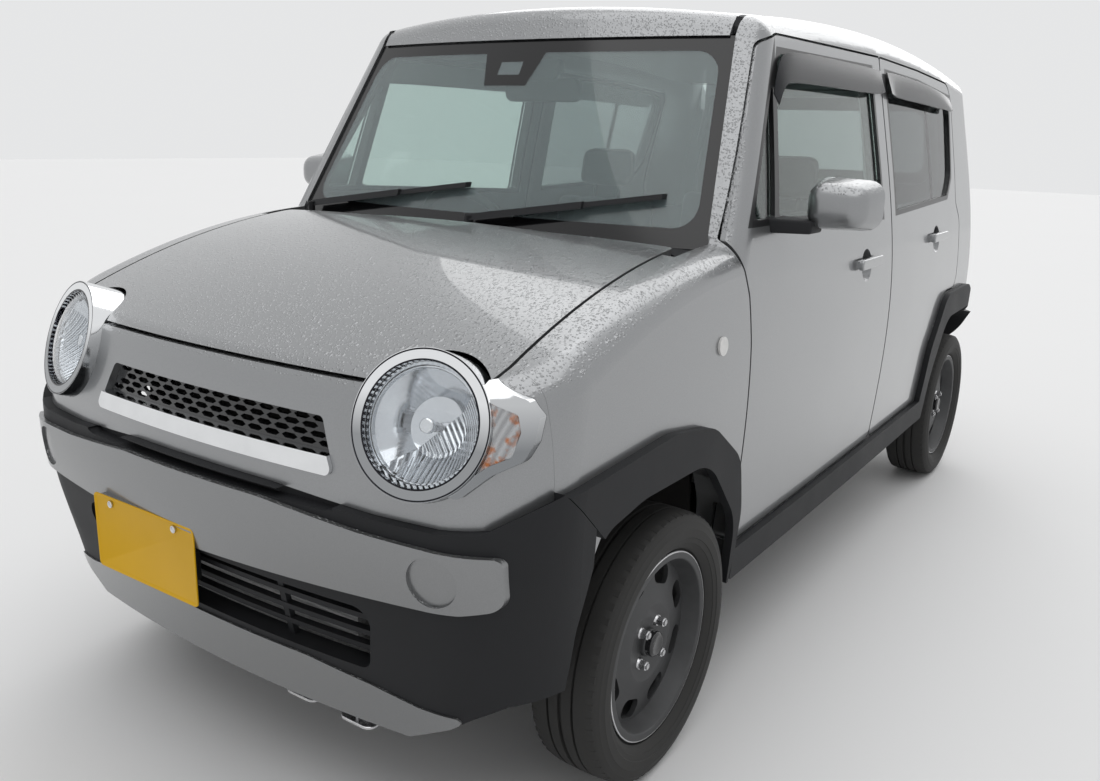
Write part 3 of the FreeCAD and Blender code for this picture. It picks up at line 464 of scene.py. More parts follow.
# Plain finishes: metallic, coat, noise (scale, detail, roughness), darkest and lightest colour,
# roughness and its spread, bump (scale, detail, strength, distance)
PLAIN = {
    "bright_steel": (1.0, 0.0, (60, 3, 0.5), (0.52, 0.52, 0.53), (0.72, 0.72, 0.73), 0.20, 0.15, None),
    "gloss_black": (0.0, 0.5, (20, 3, 0.5), (0.006, 0.006, 0.007), (0.016, 0.016, 0.018), 0.14, 0.12, None),
    "chrome": (1.0, 0.0, (18, 3, 0.5), (0.72, 0.73, 0.74), (0.86, 0.87, 0.88), 0.05, 0.10, None),
    "black_rubber": (0.0, 0.0, (40, 3, 0.5), (0.010, 0.010, 0.010), (0.024, 0.024, 0.024), 0.65, 0.20,
                     (40, 3, 0.15, 0.0005)),
    "tyre_rubber": (0.0, 0.0, (14, 5, 0.6), (0.012, 0.012, 0.012), (0.034, 0.033, 0.031), 0.62, 0.30,
                    (260, 3, 0.15, 0.0008)),
    "wheel_paint": (0.45, 0.0, (25, 4, 0.6), (0.050, 0.051, 0.053), (0.090, 0.091, 0.093), 0.38, 0.22,
                    (500, 2, 0.06, 0.0004)),
    "chassis_black": (0.0, 0.0, (9, 5, 0.65), (0.012, 0.012, 0.012), (0.045, 0.042, 0.038), 0.50, 0.30,
                      (90, 4, 0.2, 0.001)),
    "cast_metal": (0.7, 0.0, (30, 5, 0.65), (0.10, 0.10, 0.10), (0.22, 0.21, 0.20), 0.50, 0.30,
                   (200, 4, 0.3, 0.001)),
    "exhaust_metal": (0.9, 0.0, (12, 5, 0.7), (0.20, 0.17, 0.14), (0.42, 0.40, 0.37), 0.40, 0.35, None),
}


def plain(name):
    """A finish from the table above: two colours and a roughness that vary with one noise."""
    metal, coat, noise, dark, light, rough, spread, grain = PLAIN[name]
    f = Finish(name, metallic=metal, coat_weight=coat)
    patch = f.noise(*noise)
    f.set("Base Color", f.mix(patch, dark, light))
    f.set("Roughness", rough + patch * spread)
    if grain:
        f.bump(f.noise(*grain[:2]), *grain[2:])
    return f


def silver_paint():
    return paint_like("silver_paint", tuple(settings().body))


def door_paint(name, windows):
    """Body paint with black rubber round the window openings."""
    f = paint_like(name, tuple(settings().body))
    x, y, z = f.axes()
    edge = None
    for points in windows:
        d = outline_distance(y, z, points)
        edge = d if edge is None else edge.least(d)
    rubber = edge.below(WINDOW_RUBBER)
    colour = Sock(f.tree, f.shader.inputs["Base Color"].links[0].from_socket)
    f.set("Base Color", f.mix(rubber, colour, (0.010, 0.010, 0.011)))
    f.set("Metallic", PAINT_METAL - rubber * PAINT_METAL)
    f.set("Coat Weight", PAINT_COAT - rubber * 0.75)
    return f


def door_front_paint():
    return door_paint("door_front_paint", (QUARTER_OUTLINE, FRONT_WINDOW_OUTLINE))


def door_rear_paint():
    return door_paint("door_rear_paint", (REAR_WINDOW_OUTLINE,))


def edged_glass(name, print_part, tint=None, painted_sky=0.0):
    """Glass with a black print, whose mask print_part gives from x, y and z, and a faint painted reflection of the
    sky over the rest.
    """
    f = clear_glass()
    f.material.name = name
    if tint:
        f.set("Base Color", f.mix(f.noise(3.0, 2.0), tint, tone(tint, 1.1)))
    mask = print_part(*f.axes())
    print_and_painted_sky = f.tree.nodes.new("ShaderNodeBsdfPrincipled")
    print_and_painted_sky.inputs["Roughness"].default_value = 0.12
    # Where there is no print, the pale blue-grey colour is a painted reflection of the sky, laid faintly over the
    # glass.
    f.tree.links.new(f.mix(mask, (0.42, 0.50, 0.52), (0.008, 0.008, 0.009)).out, print_and_painted_sky.inputs["Base Color"])
    return f.over(mask * (1.0 - painted_sky) + painted_sky, print_and_painted_sky)


def rounded_border(across, up, corner):
    """1 outside a rounded opening, from how far inside its sides and its ends a place lies."""
    a, b = (corner - across).most(0.0), (corner - up).most(0.0)
    return (a * a + b * b).power(0.5).above(corner)


def screen_glass():
    """The windscreen: a black border with round corners and the dark patch before the camera."""

    def border(x, y, z):
        side = (0.6276 - (z - SCREEN_FOOT) * 0.1756) - x.size()
        frame_part = rounded_border(side - 0.030, (SCREEN_HEAD - z - 0.034).least(z - SCREEN_FOOT - 0.040), 0.055)
        across = (x + 0.020).size()
        patch = (SCREEN_HEAD - z).below(0.115) * (across + (SCREEN_HEAD - z) * 0.35).below(0.105)
        window = ((SCREEN_HEAD - z) - 0.072).size().below(0.016) * across.below(0.034)
        return frame_part.most(patch - window * 0.75)

    # The windscreen gets a faint painted reflection of the sky over all of it.
    return edged_glass("screen_glass", border, painted_sky=0.22)


def rear_door_glass():
    """The rear door's smoked glass with its upright division bar."""
    return edged_glass("rear_door_glass", lambda x, y, z: (y - DIVISION_BAR).size().below(0.014), tint=SMOKED)


def tail_glass():
    """The tailgate's smoked glass with a black border."""

    def border(x, y, z):
        side = (0.500 - (z - 1.150) * 0.1086) - x.size()
        return rounded_border(side - 0.035, (1.500 - z - 0.055).least(z - 1.150 - 0.045), 0.05)

    return edged_glass("tail_glass", border, tint=SMOKED)


def smoked_visor():
    f = Finish("smoked_visor", roughness=0.10, alpha=0.86, specular_ior_level=0.25)
    patch = f.noise(6.0, 2.0)
    f.set("Base Color", f.mix(patch, (0.008, 0.009, 0.011), (0.016, 0.018, 0.022)))
    return f


def plate_yellow():
    f = Finish("plate_yellow", roughness=0.42, specular_ior_level=0.2)
    patch = f.noise(9.0, 4.0)
    c = tuple(settings().plate)
    f.set("Base Color", f.mix(patch, c, tone(c, 0.86)))
    f.set("Roughness", 0.36 + patch * 0.16)
    return f


def amber_lens():
    f = Finish("amber_lens", roughness=0.12, transmission_weight=0.35)
    x, y, z = f.axes()
    ribs = (z * 800.0).sine()
    f.set("Base Color", f.mix(ribs * 0.3 + 0.4, (0.75, 0.20, 0.015), (0.95, 0.36, 0.05)))
    return f


def lamp_mirror():
    """The reflector's bright metal, with flutes low on its outer side."""
    f = Finish("lamp_mirror", metallic=1.0, roughness=0.10)
    x, y, z = f.axes()
    flutes = ((x.size() - 0.50) * 560.0 + (z - 0.85) * 420.0).sine()
    low = (x.size() - 0.50 - (z - 0.85)).above(0.02)
    f.set("Base Color", f.mix(flutes * low * 0.4 + 0.4, (0.62, 0.64, 0.66), (0.80, 0.82, 0.84)))
    f.bump(flutes * low, 0.7, 0.002)
    return f


def lamp_radius(f):
    """How far a place is from the nearer headlamp's axis."""
    x, y, z = f.axes()
    dx, dy, dz = x.size() - LAMP_MIDDLE.x, y - LAMP_MIDDLE.y, z - LAMP_MIDDLE.z
    along = dx * LAMP_AXIS.x + dy * LAMP_AXIS.y + dz * LAMP_AXIS.z
    return (dx * dx + dy * dy + dz * dz - along * along).power(0.5)


def bezel_chrome():
    """Chrome whose ring has dark lines at both edges and a painted reflection of the ground: it is painted darker
    below.
    """
    f = Finish("bezel_chrome", metallic=1.0, roughness=0.08)
    x, y, z = f.axes()
    radius = lamp_radius(f)
    line = (radius - 0.1065).size().below(0.0016).most((radius - 0.1245).size().below(0.0014))
    # Painted reflection of the ground: the mask rises to 1 below the lamp's middle, where the chrome is painted
    # darker.
    low = ((LAMP_MIDDLE.z + 0.01 - z) * 14.0 + 0.5).least(1.0).most(0.0)
    lobe = radius.above(RING_EDGE)
    # The bright ring and the duller lobe beyond it are both painted darker below as a reflection of the ground.
    ring = f.mix(low, (0.90, 0.91, 0.92), (0.34, 0.35, 0.36))
    bright = f.mix(lobe, ring, f.mix(low, (0.62, 0.63, 0.64), (0.26, 0.27, 0.28)))
    f.set("Base Color", f.mix(line, bright, (0.03, 0.03, 0.035)))
    f.set("Roughness", 0.06 + f.noise(18.0, 3.0) * 0.08)
    return f


def lamp_cover():
    """The clear lens, with upright flutes and amber tints over the turn lamp beside the round part."""
    f = lamp_glass()
    f.material.name = "lamp_cover"
    x, y, z = f.axes()
    flutes = (x.size() * 900.0 - y * 500.0).sine()
    patch = f.noise(38.0, 3.0, 0.6)
    amber = f.ramp(patch, (0.50, (0.62, 0.63, 0.64)), (0.62, (0.62, 0.20, 0.05)))
    lobe = f.tree.nodes.new("ShaderNodeBsdfPrincipled")
    lobe.inputs["Metallic"].default_value = 0.7
    lobe.inputs["Roughness"].default_value = 0.18
    f.tree.links.new(f.mix(flutes * 0.25 + 0.25, amber, (0.20, 0.20, 0.21)).out, lobe.inputs["Base Color"])
    f.tree.links.new(f.node("Bump", Height=flutes, Strength=0.6, Distance=0.001).out, lobe.inputs["Normal"])
    return f.over(lamp_radius(f).above(LOBE_FROM) * 0.72, lobe)


def side_lens():
    f = Finish("side_lens", roughness=0.15, coat_weight=0.5)
    patch = f.noise(120.0, 2.0)
    f.set("Base Color", f.mix(patch, (0.60, 0.60, 0.59), (0.80, 0.79, 0.77)))
    f.bump(patch, 0.4, 0.001)
    return f


def silver_plastic():
    f = paint_like("silver_plastic", tuple(settings().trim_silver), 0.08)
    f.set("Coat Weight", 0.35)
    return f


def black_cladding():
    colour = tuple(settings().cladding)
    f = Finish("black_cladding", roughness=0.55, specular_ior_level=0.22)
    patch = f.noise(6.0, 4.0, 0.6)
    grain = f.node("TexVoronoi", Vector=f.place(), Scale=900.0)
    f.set("Base Color", f.mix(patch, tone(colour, 0.8), tone(colour, 1.5)))
    f.set("Roughness", 0.46 + patch * 0.2)
    f.bump(grain, 0.25, 0.0006)
    return f


def clear_glass():
    f = Finish("clear_glass", roughness=0.0, transmission_weight=1.0, ior=1.45)
    patch = f.noise(3.0, 2.0)
    tint = tuple(settings().glass)
    f.set("Base Color", f.mix(patch, tint, tone(tint, 1.03)))
    return f


def lamp_glass():
    f = Finish("lamp_glass", roughness=0.0, transmission_weight=1.0, ior=1.45)
    patch = f.noise(8.0, 2.0)
    f.set("Base Color", f.mix(patch, (0.95, 0.96, 0.97), (0.9, 0.92, 0.94)))
    return f


def red_lens():
    f = Finish("red_lens", roughness=0.08, coat_weight=0.6, transmission_weight=0.25)
    x, y, z = f.axes()
    ribs = (z * 900.0).sine()
    f.set("Base Color", f.mix(ribs * 0.3 + 0.4, (0.22, 0.004, 0.004), (0.42, 0.012, 0.010)))
    f.bump(ribs, 0.2, 0.001)
    return f


def finned_alloy():
    f = Finish("finned_alloy", metallic=0.8, roughness=0.45)
    x, y, z = f.axes()
    fins = (x * 2400.0).sine()
    tubes = (z * 700.0).sine()
    f.set("Base Color", f.mix(fins * 0.5 + 0.5, (0.12, 0.12, 0.12), (0.62, 0.62, 0.62)))
    f.bump(fins + tubes, 0.5, 0.001)
    return f


def dark_trim():
    f = Finish("dark_trim", roughness=0.6)
    patch = f.noise(8.0, 4.0)
    grain = f.node("TexVoronoi", Vector=f.place(), Scale=700.0)
    f.set("Base Color", f.mix(patch, (0.020, 0.020, 0.022), (0.042, 0.042, 0.045)))
    f.set("Roughness", 0.52 + patch * 0.16)
    f.bump(grain, 0.3, 0.0006)
    return f


def seat_cloth():
    f = Finish("seat_cloth", roughness=0.95, sheen_weight=0.4)
    x, y, z = f.axes()
    weave = ((x * 2400.0).sine() * (z * 2400.0 + y * 2400.0).sine())
    patch = f.noise(30.0, 4.0)
    f.set("Base Color", f.mix(weave * 0.3 + patch * 0.6, (0.030, 0.031, 0.034), (0.085, 0.086, 0.09)))
    f.bump(weave, 0.5, 0.0008)
    return f


def wheel_grey():
    """Wheel paint with the bright line of the rim's lip; the wheels' middles are taken from the joints."""
    f = plain("wheel_paint")
    f.material.name = "wheel_grey"
    x, y, z = f.axes()
    rear = y.above(0.0)
    along = y - rear * (REAR_AXLE - FRONT_AXLE) - FRONT_AXLE
    radius = (along * along + (z - AXLE_HEIGHT) * (z - AXLE_HEIGHT)).power(0.5)
    lip = radius.above(0.2003)
    colour = Sock(f.tree, f.shader.inputs["Base Color"].links[0].from_socket)
    f.set("Base Color", f.mix(lip, colour, (0.70, 0.70, 0.71)))
    f.set("Metallic", lip * 0.4 + 0.45)
    return f


RECIPES = {
    "door_front_paint": door_front_paint, "door_rear_paint": door_rear_paint, "screen_glass": screen_glass,
    "rear_door_glass": rear_door_glass, "tail_glass": tail_glass, "smoked_visor": smoked_visor,
    "plate_yellow": plate_yellow, "amber_lens": amber_lens, "lamp_mirror": lamp_mirror, "wheel_grey": wheel_grey,
    "bezel_chrome": bezel_chrome, "lamp_cover": lamp_cover, "side_lens": side_lens, "silver_paint": silver_paint,
    "silver_plastic": silver_plastic, "black_plastic": black_cladding, "glass": clear_glass,
    "lamp_glass": lamp_glass, "red_lens": red_lens, "aluminium": finned_alloy, "dark_trim": dark_trim,
    "seat_cloth": seat_cloth,
}
# Slots whose plain finish has another name
PLAIN_NAMES = {"rubber": "black_rubber", "tyre": "tyre_rubber", "wheel_steel": "wheel_paint",
               "black_metal": "chassis_black", "cast_iron": "cast_metal", "exhaust_steel": "exhaust_metal"}


class KEI_OT_finishes(bpy.types.Operator):
    """Gives every CAD node the finish of its material slot"""

    bl_idname = "kei.finishes"
    bl_label = "Finish the CAD pieces"

    def execute(self, context):
        for part in frame["record"]["subparts"]:
            node = part["node"]
            own = [finish for start, finish in OWN_FINISHES if node.startswith(start)]
            dress(node, finish_of(own[0] if own else part["material_slot"]))
        return {"FINISHED"}


class KEI_OT_plates(bpy.types.Operator):
    """Blank number plates with a raised rim and two screws each"""

    bl_idname = "kei.plates"
    bl_label = "Number plates"

    def execute(self, context):
        for name, body, x, y, z, out in (
            ("front_plate", "body", *FRONT_PLATE, -1), ("rear_plate", "tailgate", *REAR_PLATE, 1),
        ):
            near, far = sorted((y, y + out * 0.0025))
            plate = cube(name, (x - 0.165, near, z - 0.0825), (x + 0.165, far, z + 0.0825))
            round_edges(plate, lambda middle, along: abs(along.y) > 0.9, 0.010, 4)
            dish(plate, lambda middle, normal: normal.y * out > 0.9, (0.005, 0), (0.002, -0.0012))
            put(plate, body, "plate_yellow")
            screws = []
            for side in (-1, 1):
                at = (x + side * 0.105, far if out > 0 else near, z + 0.068)
                head = rod("screw", at, (at[0], at[1] + out * 0.003, at[2]), 0.0075, 18)
                dish(head, lambda middle, normal: normal.y * out > 0.9, (0.0022, 0), (0.0012, -0.0014))
                screws.append(head)
            put(joined(name + "_screws", screws), body, "bright_steel")
        for x in (0.150, 0.300):
            plate = cube("tow_bracket", (x, -1.612, 0.236), (x + 0.085, -1.490, 0.242))
            round_edges(plate, lambda middle, along: abs(along.z) > 0.9, 0.018, 4)
            web = cube("web", (x + 0.038, -1.600, 0.241), (x + 0.044, -1.560, 0.262))
            put(joined("tow_bracket_%d" % (x * 100), [soften(plate, 0.001, 1), web]), "body", "bright_steel")
        x = FRONT_PLATE[0]
        stay = cube("plate_stay", (x - 0.150, -1.6895, 0.404), (x + 0.150, -1.6760, 0.536))
        choose(stay, "FACE", lambda middle, normal: normal.y > 0.9)
        bpy.ops.mesh.inset(thickness=0.030)
        bpy.ops.mesh.extrude_region_move(TRANSFORM_OT_translate={"value": (0, 0.030, 0)})
        close()
        put(soften(stay, 0.003), "body", "black_plastic")
        return {"FINISHED"}


class KEI_OT_wheel_fittings(bpy.types.Operator):
    """Wheel nuts, dust caps and valves, modelled for one wheel and copied to the others"""

    bl_idname = "kei.wheel_fittings"
    bl_label = "Wheel fittings"

    def execute(self, context):
        for name, x, y in (("front", FRONT_TRACK / 2, FRONT_AXLE), ("rear", REAR_TRACK / 2, REAR_AXLE)):
            nuts = []
            for i in range(4):
                a = math.radians(45 + 90 * i)
                at = Vector((x + 0.030, y + math.cos(a) * BOLT_RADIUS, AXLE_HEIGHT + math.sin(a) * BOLT_RADIUS))
                nut = rod("nut", at, at + Vector((0.020, 0, 0)), NUT_RADIUS, 6)
                choose(nut, "FACE", lambda middle, normal: normal.x > 0.9)
                bpy.ops.mesh.inset(thickness=0.003)
                bpy.ops.mesh.extrude_region_move(TRANSFORM_OT_translate={"value": (0.004, 0, 0)})
                close()
                seat = rod("seat", at, at + Vector((0.006, 0, 0)), 0.0145, 20, 0.0115)
                nuts += [nut, seat]
            nuts = joined("wheel_nuts_%s_left" % name, nuts)
            cap = rod("dust_cap_%s_left" % name, (x + 0.036, y, AXLE_HEIGHT), (x + 0.052, y, AXLE_HEIGHT),
                      0.0275, 32)
            dish(cap, lambda middle, normal: normal.x > 0.9, (0.006, 0.004), (0.008, -0.003))
            a = math.radians(100)
            at = Vector((x + 0.018, y + math.cos(a) * 0.176, AXLE_HEIGHT + math.sin(a) * 0.176))
            valve = rod("valve_%s_left" % name, at, at + Vector((0.030, 0, 0)), 0.005, 14, 0.0035)
            dish(valve, lambda middle, normal: normal.x > 0.9, (0.001, 0.002))
            for piece, finish in ((nuts, "bright_steel"), (soften(cap, 0.0015), "gloss_black"), (valve, "rubber")):
                pair(piece, ("wheel_%s_left" % name, "wheel_%s_right" % name), finish)
        return {"FINISHED"}


class KEI_OT_tyres(bpy.types.Operator):
    """Tyres with grooved tread, shoulder blocks and stepped side walls, spun from one section"""

    bl_idname = "kei.tyres"
    bl_label = "Tyres"

    def execute(self, context):
        half = [(0.0, 0.282), (0.004, 0.282), (0.0045, 0.289), (0.025, 0.2885), (0.0255, 0.282),
                (0.030, 0.282), (0.0305, 0.2883), (0.052, 0.2868), (0.066, 0.2832), (0.0705, 0.2805),
                (0.0745, 0.2755), (0.0765, 0.2700), (0.0775, 0.2690), (0.0800, 0.2560), (0.0812, 0.2540),
                (0.0806, 0.2360), (0.0788, 0.2345), (0.0760, 0.2240), (0.0745, 0.2235), (0.0680, 0.2130),
                (0.0620, 0.2085), (0.0560, 0.2080), (0.0540, 0.2060), (0.0540, 0.1945), (0.0500, 0.1920)]
        section = [(-a, r) for a, r in reversed(half[1:])] + half
        bpy.ops.object.select_all(action="DESELECT")
        bpy.ops.mesh.primitive_circle_add(vertices=len(section), radius=0.1)
        tyre = settle("tyre_tread_front_left")
        for vertex, (a, r) in zip(tyre.data.vertices, section):
            vertex.co = (a, 0.0, r)
        choose(tyre, "EDGE", lambda middle, along: True)
        bpy.ops.mesh.spin(steps=TYRE_STEPS, angle=2 * math.pi, center=(0, 0, 0), axis=(1, 0, 0))
        bpy.ops.mesh.select_all(action="SELECT")
        bpy.ops.mesh.remove_doubles(threshold=0.00001)
        bpy.ops.mesh.normals_make_consistent(inside=False)
        close()
        blocks = []
        for side in (-1, 1):
            low, high = sorted((side * 0.0545, side * 0.0700))
            block = cube("block", (low, -0.0068, 0.2790), (high, 0.0068, 0.2862))
            nudge(block, lambda co, normal: co.x * side > 0.06 and co.z > 0.28, (0, 0, -0.0032))
            blocks.append(soften(block, 0.0010, 1))
        pair = joined("blocks", blocks)
        ring = [pair]
        for i in range(1, TREAD_BLOCKS):
            other = twin(pair, "blocks")
            other.rotation_euler = (2 * math.pi * i / TREAD_BLOCKS, 0, 0)
            only(other)
            bpy.ops.object.transform_apply(rotation=True)
            ring.append(other)
        tyre = joined("tyre_tread_front_left", [tyre] + ring)
        places = [("front_left", FRONT_TRACK / 2, FRONT_AXLE), ("front_right", -FRONT_TRACK / 2, FRONT_AXLE),
                  ("rear_left", REAR_TRACK / 2, REAR_AXLE), ("rear_right", -REAR_TRACK / 2, REAR_AXLE)]
        for name, x, y in places:
            here = twin(tyre, "tyre_tread_" + name + "_", shift=(x, y, AXLE_HEIGHT))
            put(here, "wheel_" + name, "tyre", 28)
            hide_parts("tyre_" + name)
        bpy.data.objects.remove(tyre)
        for name, x, y in places:
            bpy.data.objects["tyre_tread_" + name + "_"].name = "tyre_tread_" + name
        return {"FINISHED"}


class KEI_OT_lamps(bpy.types.Operator):
    """Headlamp bulbs, shades and turn lamps behind the lenses"""

    bl_idname = "kei.lamps"
    bl_label = "Lamp insides"

    def execute(self, context):
        def at(along):
            return LAMP_MIDDLE + LAMP_AXIS * along

        bowl = rod("reflector_left", at(-0.086), at(-0.012), 0.034, 48, 0.098)
        choose(bowl, "FACE", lambda middle, normal: (
            abs(normal.dot(LAMP_AXIS)) > 0.99 and (middle - at(-0.012)).length < 0.004))
        bpy.ops.mesh.inset(thickness=0.002)
        bpy.ops.mesh.extrude_region_move(TRANSFORM_OT_translate={"value": tuple(LAMP_AXIS * -0.030)})
        bpy.ops.transform.resize(value=(0.86, 0.86, 0.86), center_override=tuple(at(-0.042)))
        bpy.ops.mesh.extrude_region_move(TRANSFORM_OT_translate={"value": tuple(LAMP_AXIS * -0.028)})
        bpy.ops.transform.resize(value=(0.55, 0.55, 0.55), center_override=tuple(at(-0.070)))
        close()
        bulb = rod("bulb_left", at(-0.072), at(-0.034), 0.0085, 20)
        dish(bulb, lambda middle, normal: normal.dot(LAMP_AXIS) > 0.9, (0.003, 0.003))
        shade = rod("bulb_shade_left", at(-0.030), at(-0.018), 0.013, 28)
        dish(shade, lambda middle, normal: normal.dot(LAMP_AXIS) > 0.9, (0.004, 0.002))
        turn = rod("turn_bulb_left", (0.638, -1.5430, 0.852), (0.644, -1.5540, 0.853), 0.010, 24)
        dish(turn, lambda middle, normal: normal.y < -0.7, (0.004, 0.004))
        for piece, finish in ((bowl, "lamp_mirror"), (bulb, "bright_steel"), (soften(shade, 0.001, 2), "chrome"),
                              (turn, "amber_lens")):
            pair(piece, ("body", "body"), finish, 40)
        return {"FINISHED"}


class KEI_OT_mirrors(bpy.types.Operator):
    """Mirror glasses, black mirror feet and the inner mirror with the camera housing"""

    bl_idname = "kei.mirrors"
    bl_label = "Mirrors"

    def execute(self, context):
        glass = cube("mirror_glass_left", (0.756, -0.5075, 1.134), (0.890, -0.5035, 1.226))
        round_edges(glass, lambda middle, along: abs(along.y) > 0.9, 0.026, 5)
        dish(glass, lambda middle, normal: normal.y > 0.9, (0.003, -0.001))
        foot = cube("mirror_foot_left", (0.672, -0.640, 1.114), (0.778, -0.520, 1.147))
        taper(foot, lambda co, normal: co.x > 0.74, (1, 0.62, 0.9), (0.778, -0.560, 1.130))
        soften(foot, 0.006, 3)
        shell = cube("mirror_shell_left", (0.7425, -0.6035, 1.1185), (0.9030, -0.5045, 1.2415))
        taper(shell, lambda co, normal: co.y < -0.59, (0.80, 1, 0.78), (0.815, -0.604, 1.170))
        taper(shell, lambda co, normal: co.x > 0.85, (1, 1, 0.88), (0.900, -0.550, 1.185))
        round_edges(shell, lambda middle, along: middle.y < -0.51, 0.034, 5)
        dish(shell, lambda middle, normal: normal.y > 0.9, (0.004, 0), (0.003, -0.002))
        arm = cube("arm", (0.672, -0.588, 1.1205), (0.770, -0.532, 1.1425))
        shell = joined("mirror_shell_left", [shell, arm])
        for piece, finish in ((glass, "chrome"), (foot, "black_plastic"), (shell, "silver_paint")):
            other = pair(piece, ("door_front_left", "door_front_right"), finish, 50)
            if piece is shell:
                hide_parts("mirror_left")
                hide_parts("mirror_right")
        inner = cube("inner_mirror", (-0.115, -0.560, 1.395), (0.115, -0.535, 1.455))
        round_edges(inner, lambda middle, along: abs(along.y) > 0.9, 0.020, 4)
        put(soften(inner, 0.004, 2), "body", "dark_trim")
        housing = cube("camera_housing", (-0.095, -0.640, 1.440), (0.095, -0.560, 1.500))
        taper(housing, lambda co, normal: co.y > -0.60, (0.8, 1, 0.5), (0, -0.560, 1.495))
        nudge(housing, lambda co, normal: co.y < -0.60 and co.z > 1.47, (0, 0.030, 0))
        put(soften(housing, 0.008, 3), "body", "dark_trim")
        return {"FINISHED"}


class KEI_OT_visors(bpy.types.Operator):
    """Smoked rain visors over the door windows, laid on the door glass"""

    bl_idname = "kei.visors"
    bl_label = "Door visors"

    def execute(self, context):
        for name, body, glass, places in (
            ("front_visor", "door_front", "glass_front",
             ((-0.548, 1.395, 1.420), (-0.500, 1.445, 1.500), (-0.440, 1.450, 1.522), (-0.200, 1.452, 1.525),
              (0.060, 1.452, 1.525), (0.250, 1.452, 1.524), (0.300, 1.462, 1.522))),
            ("rear_visor", "door_rear", "glass_rear",
             ((0.372, 1.462, 1.522), (0.420, 1.450, 1.524), (0.640, 1.448, 1.520), (0.860, 1.442, 1.512),
              (1.080, 1.436, 1.496), (1.170, 1.434, 1.482), (1.190, 1.440, 1.474))),
        ):
            bpy.ops.object.select_all(action="DESELECT")
            bpy.ops.mesh.primitive_grid_add(x_subdivisions=len(places) - 1, y_subdivisions=4, size=1)
            visor = settle(name + "_left")
            rows = 5
            for i, vertex in enumerate(visor.data.vertices):
                column, row = i % len(places), i // len(places)
                y, low, high = places[column]
                z = low + (high - low) * row / (rows - 1)
                skin = 0.6505 - (z - 1.34) * 0.195 - (y - 0.07) ** 2 / 0.180 * 0.001
                vertex.co = (skin + 0.017 - 0.011 * row / (rows - 1), y, z)
            choose(visor, "FACE", lambda middle, normal: True)
            bpy.ops.mesh.normals_make_consistent(inside=False)
            close()
            apply(visor, "SUBSURF", levels=2, render_levels=2, boundary_smooth="PRESERVE_CORNERS")
            apply(visor, "SOLIDIFY", thickness=0.003, offset=0)
            pair(visor, (body + "_left", body + "_right"), "smoked_visor", 60)
        return {"FINISHED"}


